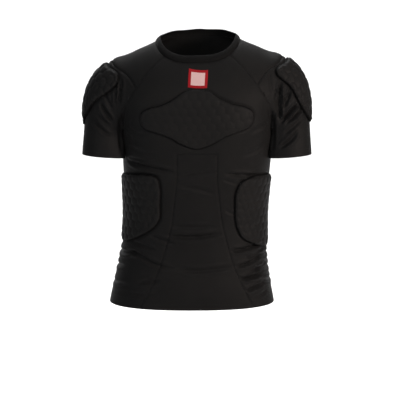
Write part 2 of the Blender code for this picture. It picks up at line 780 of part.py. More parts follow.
class Sheet:
    """One panel: points on the figure, triangles between them and what lies on it."""

    def __init__(self, chart, side, edges, spacing, patches=()):
        self.chart, self.side = chart, side
        self.outline, self.flat_outline, self.gaps = self.walk(edges)
        flats, kinds = [self.flat_outline], [np.full(len(self.flat_outline), OUTLINE)]
        fixed = [(k, (k + 1) % len(self.outline)) for k in range(len(self.outline))]
        count = len(self.outline)
        for patch in patches:
            fixed += [(count + k, count + (k + 1) % len(patch.loop)) for k in range(len(patch.loop))]
            spots, kind = patch.points()
            flats += [patch.loop, spots]
            kinds += [np.full(len(patch.loop), OUTLINE), kind]
            count += len(patch.loop) + len(spots)
        creases = self.crease_points(np.vstack(flats), patches)
        flats.append(creases)
        kinds.append(np.full(len(creases), FILL))
        taken = np.vstack(flats)
        fill, _, _ = lattice(self.flat_outline, spacing)
        fill = fill[inside(fill, self.flat_outline)]
        fill = fill[clearance(fill, self.flat_outline) > spacing * FILL_TO_OUTLINE]
        for patch in patches:
            fill = fill[~inside(fill, patch.loop)]
        near = np.array([np.min(np.linalg.norm(taken - spot, axis=1)) for spot in fill])
        fill = fill[near > spacing * FILL_TO_POINT]
        self.flat = np.vstack([taken, fill])
        self.kind = np.concatenate(kinds + [np.full(len(fill), FILL)])
        self.triangles = self.fill_in(fixed)
        self.base = self.chart.raise_up(self.flat)
        self.base[: len(self.outline)] = self.outline
        self.normals = form_normals(self.base)
        self.patches = patches

    def walk(self, edges):
        """Join the edges of the outline into one loop of points, with the gap of each step."""
        points, flats, gaps = [], [], []
        for line, gap, shift in edges:
            points.append(line[:-1])
            flat = self.chart.lay(line[:-1])
            if shift is not None:
                flat[:, 0] = shift(flat[:, 0])
            flats.append(flat)
            gaps.append(np.full(len(line) - 1, gap))
        return np.vstack(points), np.vstack(flats), np.concatenate(gaps)

    def crease_points(self, taken, patches):
        """Points along each crease and beside it, where they are clear of the rest."""
        spots = []
        for fold, line in zip(FOLDS, FOLD_LINES):
            line = line * (self.side, 1, 1)
            if fold.facing * getattr(self.chart, "facing", fold.facing) < 0:
                continue
            if isinstance(self.chart, SleeveChart) and np.mean(line[:, 0]) < 0:
                continue
            flat = resample(self.chart.lay(line), FOLD_SPACING)
            if not inside(flat, self.flat_outline).all():
                continue
            along = unit(np.gradient(flat, axis=0))
            across = np.column_stack([-along[:, 1], along[:, 0]]) * fold.width * FOLD_RIDGE_AT
            spots += [flat, flat + across, flat - across]
        if not spots:
            return np.zeros((0, 2))
        spots = np.vstack(spots)
        keep = inside(spots, self.flat_outline)
        for patch in patches:
            keep &= ~inside(spots, patch.loop) & (clearance(spots, patch.loop) > FOLD_TO_PATCH)
        spots = spots[keep]
        chosen = []
        for spot in spots:
            others = np.vstack([taken] + chosen) if chosen else taken
            if np.min(np.linalg.norm(others - spot, axis=1)) > FOLD_TO_POINT:
                chosen.append(spot[None])
        return np.vstack(chosen) if chosen else np.zeros((0, 2))

    def fill_in(self, fixed):
        """Triangles between the points, inside the outline."""
        result = delaunay_2d_cdt([Vector(spot) for spot in self.flat], fixed, [], 0, 1e-4)
        made, faces, sources = result[0], result[2], result[3]
        if len(made) != len(self.flat):
            raise ValueError(f"{len(self.flat)} points gave {len(made)}: two outlines cross")
        order = np.array([source[0] for source in sources])
        faces = order[np.array(faces)]
        middles = self.flat[faces].mean(axis=1)
        return faces[inside(middles, self.flat_outline)]

    def insets(self):
        """How far each point of the outline moves in, so that seams stay a gap apart."""
        points, count = self.outline, len(self.outline)
        normals = self.normals[:count]
        ahead = np.roll(points, -1, axis=0) - points
        face = unit(normals + np.roll(normals, -1, axis=0))
        inward = unit(np.cross(face, ahead))
        if self.flipped():
            inward = -inward
        before, gap_before = np.roll(inward, 1, axis=0), np.roll(self.gaps, 1)
        moves = np.zeros((count, 3))
        for k in range(count):
            sides = [(before[k], gap_before[k]), (inward[k], self.gaps[k])]
            sides = [(way, gap) for way, gap in sides if not np.isnan(gap)]
            if not sides:
                continue
            ways = np.array([way for way, _ in sides])
            gaps = np.array([gap for _, gap in sides])
            moves[k] = np.linalg.lstsq(ways, gaps, rcond=0.05)[0]
        return moves

    def flipped(self):
        """Whether the outline runs clockwise in the chart."""
        x, y = self.flat_outline.T
        return np.sum(x * np.roll(y, -1) - np.roll(x, -1) * y) < 0


def to_world(points):
    """The body's lean and the tilt of its shoulders."""
    moved = points.copy()
    moved[:, 0] += SWAY_X(points[:, 2])
    moved[:, 2] += SHOULDER_TILT * points[:, 0] * ease(points[:, 2], TILT_FOOT, TILT_TOP)
    return moved


def solid_between(upper, lower, triangles):
    """A closed solid from two matching layers of one set of triangles."""
    used = np.unique(triangles)
    renumber = np.full(len(upper), -1)
    renumber[used] = np.arange(len(used))
    top = renumber[triangles]
    points = np.vstack([upper[used], lower[used]])
    edges = np.concatenate([top[:, [0, 1]], top[:, [1, 2]], top[:, [2, 0]]])
    keys = {}
    for a, b in edges:
        keys[(a, b)] = True
    rim = np.array([(a, b) for a, b in keys if (b, a) not in keys])
    low = len(used)
    # Neighbours cut the four-cornered faces between them along the same corner pair.
    rank = points[:low, 2] + 0.31 * np.abs(points[:low, 0]) + 0.17 * points[:low, 1]
    first_higher = rank[rim[:, 0]] > rank[rim[:, 1]]
    here, after = rim[:, 0], rim[:, 1]
    sides = np.vstack(
        [
            np.column_stack([after, here, np.where(first_higher, after, here) + low]),
            np.column_stack([np.where(first_higher, here, after), here + low, after + low]),
        ]
    )
    return points, np.vstack([top, top[:, ::-1] + low, sides])


def material(name, colour, roughness):
    """A cloth finish."""
    finish = bpy.data.materials.new(name)
    finish.use_nodes = True
    shader = finish.node_tree.nodes["Principled BSDF"]
    shader.inputs["Base Color"].default_value = (*colour, 1.0)
    shader.inputs["Roughness"].default_value = roughness
    shader.inputs["Metallic"].default_value = 0.0
    return finish


def add_solid(name, points, faces, finish, side=1):
    """An object from points in millimetres on the +X side, or mirrored to the other."""
    points = np.array(points, float)
    if side < 0:
        points[:, 0] *= -1
        faces = faces[:, ::-1]
    points = to_world(points) * MILLIMETRE
    mesh = bpy.data.meshes.new(name)
    mesh.from_pydata(points.tolist(), [], faces.tolist())
    mesh.materials.append(finish)
    mesh.shade_smooth()
    mesh.set_sharp_from_angle(angle=math.radians(40))
    obj = bpy.data.objects.new(name, mesh)
    bpy.context.scene.collection.objects.link(obj)
    return obj


COLLAR_LEAN = 24.0
COLLAR_SIDE_LEAN = 14.0
COLLAR_BULGE = 1.0
NO_EDGE = float("nan")
# The chart's cut down the inside of the sleeve bows a little, so that no three of its points line up.
CUT_BOW = 4.0
HALF_GAP = SEAM_GAP / 2


def seam(line, shift=None):
    """An edge sewn to a neighbour."""
    return line, HALF_GAP, shift


def free(line, shift=None):
    """A hem or other free edge."""
    return line, 0.0, shift


def joined(line, shift=None):
    """A cut of the chart only: the two sides are one piece of cloth."""
    return line, NO_EDGE, shift


def make_panel(name, sheet, finish, closed=False):
    """The panel as a wall, thickened inwards from the figure."""
    count = len(sheet.outline)
    sided = sheet.base * (sheet.side, 1, 1)
    outer = sheet.base + sheet.normals * relief(sided)[:, None]
    outer[:count] += sheet.insets()
    triangles = sheet.triangles[:, ::-1] if sheet.flipped() else sheet.triangles
    if closed:
        # The two copies of each point on the chart's cut become one.
        merged = np.arange(len(outer))
        for k in range(count):
            twins = np.where(np.linalg.norm(sheet.outline - sheet.outline[k], axis=1) < 1e-3)[0]
            outer[twins] = outer[twins].mean(axis=0)
            merged[twins] = twins.min()
        triangles = merged[triangles]
    inner = outer - sheet.normals * CLOTH
    points, faces = solid_between(outer, inner, triangles)
    return add_solid(name, points, faces, finish, sheet.side)


def make_patch(sheet, patch, finish, heights):
    """What lies on the panel: its own points moved out."""
    sided = sheet.base * (sheet.side, 1, 1)
    lie = relief(sided) + LIFT
    rise = np.array([heights[kind] for kind in sheet.kind])
    lower = sheet.base + sheet.normals * lie[:, None]
    upper = lower + sheet.normals * rise[:, None]
    middles = sheet.flat[sheet.triangles].mean(axis=1)
    triangles = sheet.triangles[inside(middles, patch.loop)]
    points, faces = solid_between(upper, lower, triangles)
    return add_solid(patch.name, points, faces, finish, sheet.side)


PAD_HEIGHTS = {OUTLINE: PAD_EDGE, GROOVE: PAD_GROOVE, CELL: PAD_CELL, FILL: PAD_GROOVE}
LABEL_HEIGHTS = {OUTLINE: LABEL, GROOVE: LABEL, CELL: LABEL, FILL: LABEL}

# Outlines of what lies on the panels, seen from the front.
CHEST_PAD = (
    FrontPoint(-1, -100),
    FrontPoint(27, -105),
    FrontPoint(52, -121),
    FrontPoint(76, -132),
    FrontPoint(101, -138),
    FrontPoint(120, -149),
    FrontPoint(123, -168),
    FrontPoint(112, -185),
    FrontPoint(86, -194),
    FrontPoint(59, -204),
    FrontPoint(33, -219),
    FrontPoint(0, -229),
)
LABEL_CORNERS = ((-17.0, -56.0), (24.0, -60.5), (22.0, -98.0), (-19.0, -95.5))


class ArcPoint(NamedTuple):
    """A place on the body: length round the chest from the front middle, and height."""

    arc: float
    z: float


RIB_PAD_RIGHT = (
    ArcPoint(101, -355),
    ArcPoint(99, -328),
    ArcPoint(110, -303),
    ArcPoint(140, -291),
    ArcPoint(175, -290),
    ArcPoint(210, -291),
    ArcPoint(242, -302),
    ArcPoint(257, -330),
    ArcPoint(259, -365),
    ArcPoint(257, -402),
    ArcPoint(248, -437),
    ArcPoint(220, -458),
    ArcPoint(188, -454),
    ArcPoint(155, -443),
    ArcPoint(125, -427),
    ArcPoint(107, -395),
)
RIB_PAD_LEFT = (
    ArcPoint(90, -355),
    ArcPoint(87, -323),
    ArcPoint(93, -293),
    ArcPoint(122, -286),
    ArcPoint(156, -287),
    ArcPoint(190, -289),
    ArcPoint(225, -292),
    ArcPoint(250, -310),
    ArcPoint(259, -343),
    ArcPoint(258, -382),
    ArcPoint(250, -418),
    ArcPoint(222, -445),
    ArcPoint(185, -441),
    ArcPoint(148, -427),
    ArcPoint(114, -409),
    ArcPoint(93, -386),
)
SHOULDER_PAD_RIGHT = (
    FrontPoint(193, -51),
    FrontPoint(183, -56),
    FrontPoint(172, -66),
    FrontPoint(175, -78),
    FrontPoint(188, -90),
    FrontPoint(202, -102),
    FrontPoint(213, -118),
    FrontPoint(223, -137),
    FrontPoint(234, -156),
    FrontPoint(245, -171),
)
SHOULDER_PAD_LEFT = (
    FrontPoint(193, -51),
    FrontPoint(182, -57),
    FrontPoint(171, -68),
    FrontPoint(172, -83),
    FrontPoint(182, -97),
    FrontPoint(197, -108),
    FrontPoint(213, -118),
    FrontPoint(227, -131),
    FrontPoint(238, -149),
    FrontPoint(248, -165),
)
SHOULDER_PAD_TOP = (198.0, 9.0)
SHOULDER_PAD_FOOT_Z = -181.0


def chest_pad_loop(chart):
    """The chest pad's outline, the same on both sides."""
    right = np.array(CHEST_PAD)
    loop = np.vstack([right, (right[1:-1] * (-1, 1))[::-1]])
    line = smooth_loop(loop[::-1], PATCH_SPACING)
    return chart.lay(seen_at(line[:, 0], line[:, 1], FRONT))


def rib_pad_loop(side):
    """A rib pad's outline."""
    loop = np.array(RIB_PAD_RIGHT if side > 0 else RIB_PAD_LEFT) * (side, 1)
    return smooth_loop(loop[::-side], PATCH_SPACING)


def label_loop(chart):
    """The label's outline with a point in the middle of each side."""
    corners = np.array(LABEL_CORNERS)[::-1]
    line = resample(np.vstack([corners, corners[:1]]), 20.0)[:-1]
    return chart.lay(seen_at(line[:, 0], line[:, 1], FRONT))


def shoulder_pad_loop(chart, side):
    """A shoulder pad's outline: the front edge, and the same behind."""
    rows = SHOULDER_PAD_RIGHT if side > 0 else SHOULDER_PAD_LEFT
    front = chart.lay(seen_at(*np.transpose(rows), FRONT))
    top = chart.lay(seen_from_above(*[np.array([value]) for value in SHOULDER_PAD_TOP]))
    outer = np.array([[300.0, 0.0, SHOULDER_PAD_FOOT_Z]])
    foot = chart.lay(march(outer, np.array([[-1.0, 0.0, 0.0]]), leaving=False))
    top[0, 0] = foot[0, 0] = 0
    loop = np.vstack([top, front, foot, front[::-1] * (-1, 1)])
    return smooth_loop(loop, PATCH_SPACING)


def main():
    """Clear the scene and make every piece."""
    for obj in list(bpy.data.objects):
        bpy.data.objects.remove(obj, do_unlink=True)
    knit = material("black knit", (0.012, 0.012, 0.014), 0.62)
    quilt = material("black quilted knit", (0.016, 0.016, 0.018), 0.55)
    rib = material("black ribbed band", (0.010, 0.010, 0.012), 0.7)
    red = material("red woven label", (0.55, 0.02, 0.03), 0.6)
    seams = Seams()
    front_chart, back_chart, sleeve_chart = BodyChart(FRONT), BodyChart(BACK), SleeveChart()
    make_front(seams, front_chart, knit, quilt, red)
    make_centre(seams, front_chart, knit)
    make_back(seams, back_chart, knit)
    for side, word in ((1, "right"), (-1, "left")):
        make_yoke(seams, sleeve_chart, side, word, knit)
        make_sleeve(seams, sleeve_chart, side, word, knit, quilt)
    make_collar(seams, rib)


def hem_line(chart, first, last):
    """The hem between two places of the chart."""
    ends = chart.lay(np.array([first, last]))
    ends[:, 1] = HEM_Z
    line = chart.raise_up(resample(ends, HEM_SPACING))
    line[0], line[-1] = first, last
    return line


def make_front(seams, chart, knit, quilt, red):
    """The chest and both flanks, with the pads and the label that lie on them."""
    left_side = mirrored(seams.side)[::-1]
    edges = [
        free(hem_line(chart, left_side[-1], seams.centre_left[-1])),
        seam(seams.centre_left[::-1]),
        seam(seams.centre_top),
        seam(seams.centre_right),
        free(hem_line(chart, seams.centre_right[-1], seams.side[-1])),
        seam(seams.side[::-1]),
        seam(seams.raglan_front[::-1]),
        seam(seams.neck_front[::-1]),
        seam(mirrored(seams.raglan_front[::-1])),
        seam(left_side),
    ]
    patches = [
        Patch("chest_pad", chest_pad_loop(chart)),
        Patch("rib_pad_right", rib_pad_loop(1)),
        Patch("rib_pad_left", rib_pad_loop(-1)),
        Patch("chest_label", label_loop(chart), quilted=False),
    ]
    sheet = Sheet(chart, 1, edges, BODY_SPACING, patches)
    make_panel("front_body", sheet, knit)
    for patch in patches[:3]:
        make_patch(sheet, patch, quilt, PAD_HEIGHTS)
    make_patch(sheet, patches[3], red, LABEL_HEIGHTS)


def make_centre(seams, chart, knit):
    """The belly panel."""
    edges = [
        free(hem_line(chart, seams.centre_left[-1], seams.centre_right[-1])),
        seam(seams.centre_right[::-1]),
        seam(seams.centre_top[::-1]),
        seam(seams.centre_left),
    ]
    make_panel("front_centre", Sheet(chart, 1, edges, BODY_SPACING), knit)


def make_back(seams, chart, knit):
    """The back."""
    left_side = mirrored(seams.side)[::-1]
    edges = [
        free(hem_line(chart, seams.side[-1], left_side[-1])),
        seam(left_side[::-1]),
        seam(mirrored(seams.raglan_back)),
        seam(seams.neck_back[::-1]),
        seam(seams.raglan_back),
        seam(seams.side),
    ]
    make_panel("back_body", Sheet(chart, 1, edges, BACK_SPACING), knit)


def make_yoke(seams, chart, side, word, knit):
    """The saddle over one shoulder."""
    edges = [
        seam(seams.yoke),
        seam(seams.raglan_back[: seams.join_back + 1][::-1]),
        seam(seams.neck_side[::-1]),
        seam(seams.raglan_front[: seams.join_front + 1]),
    ]
    make_panel(f"yoke_{word}", Sheet(chart, side, edges, YOKE_SPACING), knit)


def make_sleeve(seams, chart, side, word, knit, quilt):
    """One sleeve, a tube below the armpit, with its pad."""
    whole_turn = 2 * math.pi * chart.ROUND_RADIUS

    def upper(across):
        return np.where(across < 0, across + whole_turn, across)

    def lower(across):
        return np.where(across > 0, across - whole_turn, across)

    armpit, cuff_start = seams.raglan_front[-1], seams.cuff[0]
    ends = chart.lay(np.array([cuff_start, armpit]))
    ends[:, 0] = upper(ends[:, 0])
    share = np.linspace(0, 1, 5)[:, None]
    flat = ends[0] + (ends[1] - ends[0]) * share + np.sin(math.pi * share) * (CUT_BOW, 0)
    cut = chart.raise_up(flat)
    cut[0], cut[-1] = cuff_start, armpit
    first, rest = seams.cuff[:2], seams.cuff[1:]
    edges = [
        free(first, lower),
        free(rest),
        joined(cut, upper),
        seam(seams.raglan_back[seams.join_back :][::-1][:3], upper),
        seam(seams.raglan_back[seams.join_back :][::-1][2:]),
        seam(seams.yoke[::-1]),
        seam(seams.raglan_front[seams.join_front :]),
        joined(cut[::-1], lower),
    ]
    patch = Patch(f"shoulder_pad_{word}", shoulder_pad_loop(chart, side))
    sheet = Sheet(chart, side, edges, SLEEVE_SPACING, [patch])
    make_panel(f"sleeve_{word}", sheet, knit, closed=True)
    make_patch(sheet, patch, quilt, PAD_HEIGHTS)


def make_collar(seams, rib):
    """A band of doubled cloth that stands round the neck opening."""
    left_side = mirrored(seams.neck_side)
    ring = np.vstack(
        [seams.neck_front[:-1], seams.neck_side[:-1], seams.neck_back[:-1], left_side[:-1]]
    )
    normals = form_normals(ring)
    tangent = unit(np.roll(ring, -1, axis=0) - np.roll(ring, 1, axis=0))
    up = unit(np.cross(normals, tangent))
    inward = unit(np.column_stack([-ring[:, 0], NECK_Y - ring[:, 1], 0 * ring[:, 2]]))
    sideways = np.abs(inward[:, 0]) ** 2
    lean = np.radians(COLLAR_LEAN + COLLAR_SIDE_LEAN * sideways)[:, None]
    rise = np.cos(lean) * np.array([0, 0, 1.0]) + np.sin(lean) * inward
    facing = unit(np.cross(tangent, rise))
    foot = ring + up * HALF_GAP
    outer, inner = [foot], [foot - normals * CLOTH]
    for share in (0.5, 1.0):
        bulge = COLLAR_BULGE * math.sin(math.pi * share)
        row = foot + rise * COLLAR_WIDTH * share + facing * bulge
        outer.append(row)
        inner.append(row - facing * COLLAR)
    crown = (outer[-1] + inner[-1]) / 2 + rise * COLLAR / 3
    layers = outer + [crown] + inner[::-1]
    count = len(ring)
    here = np.arange(count)
    after = (here + 1) % count
    faces = []
    for k in range(len(layers)):
        low, high = k * count, (k + 1) % len(layers) * count
        faces.append(np.column_stack([here + low, after + low, after + high]))
        faces.append(np.column_stack([here + low, after + high, here + high]))
    add_solid("collar", np.vstack(layers), np.vstack(faces), rib)


if __name__ == "__main__":
    main()
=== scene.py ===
"""Looks of the padded compression shirt, dressed over its CAD frame.

The figure that the cloth follows is worked out in millimetres, as in the part's own source: a torso and
two hanging arms from short tables of sections. +Z is up, the chest faces -Y, and the origin lies at the
base of the neck. Every cut piece of cloth is a thin shell on that figure with its creases, seam grooves
and hems. Pads, collar, label and sewing threads are separate pieces laid on it.
"""

import logging
import math
from dataclasses import dataclass, field
from enum import Enum
from typing import Callable, ClassVar, NamedTuple, Optional, Sequence

import bpy
import numpy as np
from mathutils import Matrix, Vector
from mathutils.geometry import delaunay_2d_cdt
from mathutils.kdtree import KDTree


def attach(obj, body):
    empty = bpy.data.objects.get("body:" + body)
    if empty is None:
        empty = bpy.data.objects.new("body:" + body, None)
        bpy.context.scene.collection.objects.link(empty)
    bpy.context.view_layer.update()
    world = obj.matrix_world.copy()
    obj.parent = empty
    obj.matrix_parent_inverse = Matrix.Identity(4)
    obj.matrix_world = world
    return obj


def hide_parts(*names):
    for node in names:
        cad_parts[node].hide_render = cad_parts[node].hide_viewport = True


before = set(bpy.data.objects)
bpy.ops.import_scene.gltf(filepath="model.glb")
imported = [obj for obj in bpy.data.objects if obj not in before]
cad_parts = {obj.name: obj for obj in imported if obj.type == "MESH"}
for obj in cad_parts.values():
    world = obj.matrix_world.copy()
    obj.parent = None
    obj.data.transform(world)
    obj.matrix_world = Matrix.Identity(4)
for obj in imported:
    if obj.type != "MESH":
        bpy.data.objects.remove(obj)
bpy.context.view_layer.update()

LOG = logging.getLogger("shirt")
MILLIMETRE = 0.001
SAME_PLACE = 1e-3
WELD = 1e-4
Points = np.ndarray


class Facing(Enum):
    """The side of the body that something shows on, as the sign of its Y."""

    FRONT = -1.0
    BACK = 1.0


class EdgeKind(Enum):
    """How one edge of a cut piece ends."""

    SEAM = "sewn to a neighbour"
    HEM = "turned and free"
    CUT = "a cut of the flat chart only"


def table(kind: type, *rows: tuple) -> tuple:
    """Rows of one named kind."""
    return tuple(kind(*row) for row in rows)


class TorsoSection(NamedTuple):
    """One level of the torso: half width, reach to front and back, squareness."""

    z: float
    half_width: float
    front: float
    back: float
    roundness: float


TORSO = table(
    TorsoSection, (-600, 189.5, 104, 121, 2.4), (-545, 179.0, 103, 114, 2.35), (-495, 169.3, 100, 101, 2.3),
    (-445, 161.8, 97, 92, 2.3), (-396, 158.7, 96, 90, 2.3), (-333, 161.0, 101, 97, 2.35),
    (-272, 165.5, 108, 108, 2.5), (-209, 168.0, 113, 116, 2.75), (-182, 169.5, 115, 118, 2.85),
    (-140, 173.0, 113, 118, 2.85), (-90, 176.0, 104, 112, 2.8), (-50, 180.0, 92, 106, 2.7),
    (0, 186.0, 75, 97, 2.6), (40, 186.0, 66, 92, 2.6)
)


class Place(NamedTuple):
    """A place seen from the front or back: distance from the middle, and height."""

    x: float
    z: float


SHOULDER_LINE = table(
    Place, (0, 16), (60, 12), (83, 6), (95, 1.5), (120, -9), (142, -15), (162, -17.5), (187, -13),
    (210, -24), (260, -75)
)
SWAY = table(
    Place, (-12.0, -600), (-11.0, -545), (-9.5, -495), (-6.0, -445), (-4.0, -396), (-2.5, -333),
    (-0.5, -272), (0.0, -200), (0.0, -60), (4.0, 60)
)


class Curve:
    """A smooth curve through one column of a table, against a column that rises."""

    def __init__(self, rows: Sequence[NamedTuple], column: str, against: str = "z") -> None:
        """Take the two columns from the table.

        Args:
            rows: the table.
            column: the column that the curve gives.
            against: the rising column that it is read at.
        """
        self.knots = np.array([getattr(row, against) for row in rows], float)
        self.values = np.array([getattr(row, column) for row in rows], float)
        self.slopes = np.gradient(self.values, self.knots)

    def __call__(self, at: Points) -> Points:
        """Read the curve.

        Args:
            at: places along the rising column.

        Returns:
            The column's value at each place.
        """
        cell = np.clip(np.searchsorted(self.knots, at) - 1, 0, len(self.knots) - 2)
        width = self.knots[cell + 1] - self.knots[cell]
        t = np.clip((at - self.knots[cell]) / width, 0, 1)
        left = 1 - t
        start = (1 + 2 * t) * left**2 * self.values[cell] + t * left**2 * width * self.slopes[cell]
        end = self.values[cell + 1] * (3 - 2 * t) - left * width * self.slopes[cell + 1]
        return start + t * t * end


def ease(value: Points, low: float, high: float) -> Points:
    """Soft step."""
    t = np.clip((value - low) / (high - low), 0, 1)
    return t * t * (3 - 2 * t)


def soft_max(a: Points, b: Points, rounding: float | Points) -> Points:
    """Larger of two distances, rounded where they meet."""
    return np.maximum(a, b) + np.maximum(rounding - np.abs(a - b), 0) ** 2 / (4 * rounding)


def beyond(length: Points, norm: Points) -> Points:
    """Distance past a surface that lies where norm is 1."""
    return length * (1 - 1 / np.maximum(norm, 1e-6))


def unit(vectors: Points) -> Points:
    """Scale vectors to length 1."""
    return vectors / np.maximum(np.linalg.norm(vectors, axis=-1, keepdims=True), 1e-9)


def run_lengths(line: Points) -> Points:
    """How far along a polyline each of its points is."""
    return np.concatenate([[0], np.cumsum(np.linalg.norm(np.diff(line, axis=0), axis=1))])


@dataclass(frozen=True)
class Figure:
    """The general figure under the cloth, as a distance field on the +X side and its mirror."""

    widest_y: float = 16.0
    shoulder_rounding: float = 70.0
    shoulder_slope: float = 0.94
    ridge_y: float = 14.0
    ridge_radius_front: float = 95.0
    ridge_radius_back: float = 300.0
    neck_half_width: float = 66.0
    neck_half_depth: float = 60.0
    neck_y: float = 8.0
    neck_fillet: float = 30.0
    arm_centre: tuple[float, float, float] = (183.0, 5.0, -155.0)
    arm_radii: tuple[float, float, float] = (68.0, 60.0, 111.5)
    arm_inner: float = 148.0
    arm_gap: float = 2.0
    arm_merge: float = 60.0
    arm_rounding: float = 4.0
    cuff_outer: float = 255.0
    cuff_half_depth: float = 50.0
    cuff_y: float = -16.0
    cuff_level: float = -262.0
    cuff_middle: tuple[float, float] = (208.0, -252.0)
    cuff_slope: float = 0.07
    arm_end: float = -300.0
    armpit: tuple[float, float] = (-196.0, -155.0)
    blend_band: tuple[float, float] = (-192.0, -112.0)
    blend: tuple[float, float] = (1.0, 42.0)
    valley_x: tuple[float, float] = (140.0, 185.0)
    valley_z: tuple[float, float] = (-235.0, -100.0)
    normal_step: float = 0.25
    far_y: float = 260.0
    above_z: float = 45.0
    half: Curve = field(default_factory=lambda: Curve(TORSO, "half_width"))
    front: Curve = field(default_factory=lambda: Curve(TORSO, "front"))
    back: Curve = field(default_factory=lambda: Curve(TORSO, "back"))
    roundness: Curve = field(default_factory=lambda: Curve(TORSO, "roundness"))
    shoulder: Curve = field(default_factory=lambda: Curve(SHOULDER_LINE, "z", "x"))

    def torso(self, points: Points) -> Points:
        """Distance outside the torso with its shoulders and neck.

        Args:
            points: places in millimetres.

        Returns:
            One distance for each place.
        """
        x, y, z = np.abs(points[:, 0]), points[:, 1] - self.widest_y, points[:, 2]
        deep = np.where(y < 0, self.front(z) + self.widest_y, self.back(z) - self.widest_y)
        power = self.roundness(z)
        norm = ((x / self.half(z)) ** power + np.abs(y / deep) ** power) ** (1 / power)
        wall = beyond(np.hypot(x, y), norm)
        off = points[:, 1] - self.ridge_y
        radius = np.where(off < 0, self.ridge_radius_front, self.ridge_radius_back)
        roof = (z - self.shoulder(x) + off**2 / (2 * radius)) * self.shoulder_slope
        to_neck = points[:, 1] - self.neck_y
        neck = beyond(
            np.hypot(x, to_neck), np.hypot(x / self.neck_half_width, to_neck / self.neck_half_depth)
        )
        return -soft_max(-soft_max(wall, roof, self.shoulder_rounding), -neck, self.neck_fillet)

    def arm_section(self, z: Points) -> tuple[Points, Points, Points, Points]:
        """Level cut of the arm.

        Args:
            z: heights.

        Returns:
            Middle x, half x, middle y and half y at each height.
        """
        centre_x, centre_y, centre_z = self.arm_centre
        reach_x, reach_y, _ = self.arm_radii
        down = 1 - ease(z, self.cuff_level, centre_z)
        outer = centre_x + reach_x + (self.cuff_outer - centre_x - reach_x) * down
        inner = self.arm_inner + (centre_x - reach_x - self.arm_inner) * ease(z, *self.armpit)
        middle_y = centre_y + (self.cuff_y - centre_y) * down
        half_y = reach_y + (self.cuff_half_depth - reach_y) * down
        return (outer + inner) / 2, (outer - inner) / 2, middle_y, half_y

    def arm(self, points: Points, torso: Points) -> Points:
        """Distance outside the hanging arm, which keeps clear of the torso below the armpit.

        Args:
            points: places in millimetres.
            torso: their distances outside the torso.

        Returns:
            One distance for each place.
        """
        x, y, z = np.abs(points[:, 0]), points[:, 1], points[:, 2]
        middle_x, half_x, middle_y, half_y = self.arm_section(z)
        above = np.maximum(z - self.arm_centre[2], 0)
        sideways, along = x - middle_x, y - middle_y
        norm = np.sqrt((sideways / half_x) ** 2 + (along / half_y) ** 2 + (above / self.arm_radii[2]) ** 2)
        length = np.sqrt(sideways**2 + along**2 + above**2)
        gap = self.arm_gap - (self.arm_gap + self.arm_merge) * ease(z, *self.armpit)
        pressed = soft_max(beyond(length, norm), gap - torso, self.arm_rounding)
        return pressed + np.maximum(self.arm_end - z, 0)

    def distance(self, points: Points) -> Points:
        """Distance outside the whole figure.

        Args:
            points: places in millimetres.

        Returns:
            One distance for each place.
        """
        low, high = self.blend
        rounding = low + (high - low) * ease(points[:, 2], *self.blend_band)
        torso = self.torso(points)
        return -soft_max(-torso, -self.arm(points, torso), rounding)

    def normals(self, points: Points) -> Points:
        """Outward directions.

        Args:
            points: places on the figure.

        Returns:
            Unit normals.
        """
        slopes = []
        for axis in range(3):
            move = np.zeros(3)
            move[axis] = self.normal_step
            slopes.append(self.distance(points + move) - self.distance(points - move))
        return unit(np.column_stack(slopes))

    def march(self, origins: Points, directions: Points, leaving: bool) -> Points:
        """Follow rays to the figure's surface.

        Args:
            origins: where the rays start.
            directions: unit directions.
            leaving: whether the rays start inside.

        Returns:
            The first point of each ray that leaves the figure, or enters it.
        """
        sign = 1.0 if leaving else -1.0
        least, share, steps, halvings = 0.3, 0.4, 120, 20
        at, last = np.zeros(len(origins)), np.full(len(origins), least)
        active = np.arange(len(origins))
        for _ in range(steps):
            value = sign * self.distance(origins[active] + directions[active] * at[active, None])
            step = np.where(value < 0, np.maximum(-share * value, least), 0)
            at[active] += step
            moving = step > 0
            last[active[moving]] = step[moving]
            active = active[moving]
            if not len(active):
                break
        low, high = at - last, at.copy()
        for _ in range(halvings):
            middle = (low + high) / 2
            outside = sign * self.distance(origins + directions * middle[:, None]) > 0
            high = np.where(outside, middle, high)
            low = np.where(outside, low, middle)
        return origins + directions * high[:, None]

    def seen(self, x: Points | float, y: Points | float, z: Points | float, way: tuple) -> Points:
        """Points of the figure that parallel rays meet first.

        Args:
            x: where the rays start, one number for all or one for each.
            y: likewise.
            z: likewise.
            way: their direction.

        Returns:
            Points of the figure.
        """
        origins = np.column_stack(np.broadcast_arrays(*map(np.atleast_1d, (x, y, z)))).astype(float)
        return self.march(origins, np.tile(way, (len(origins), 1)), leaving=False)

    def seen_at(self, x: Points, z: Points, facing: Facing) -> Points:
        """Points that show from the front or from behind."""
        return self.seen(x, facing.value * self.far_y, z, (0.0, -facing.value, 0.0))

    def seen_from_above(self, x: Points, y: Points) -> Points:
        """Points that show from above."""
        return self.seen(x, y, self.above_z, (0.0, 0.0, -1.0))

    def seen_sideways(self, y: Points, z: Points, side: float) -> Points:
        """Points of one flank that show from its side, side being the sign of its X."""
        return self.seen(side * self.far_y, y, z, (-side, 0.0, 0.0))

    def valley(self, y: Sequence[float]) -> Points:
        """The line under the armpit where arm and torso meet.

        Args:
            y: places from front to back.

        Returns:
            Points of the line.
        """
        y, halvings = np.asarray(y, float), 30
        (near, far), (foot, head) = self.valley_x, self.valley_z

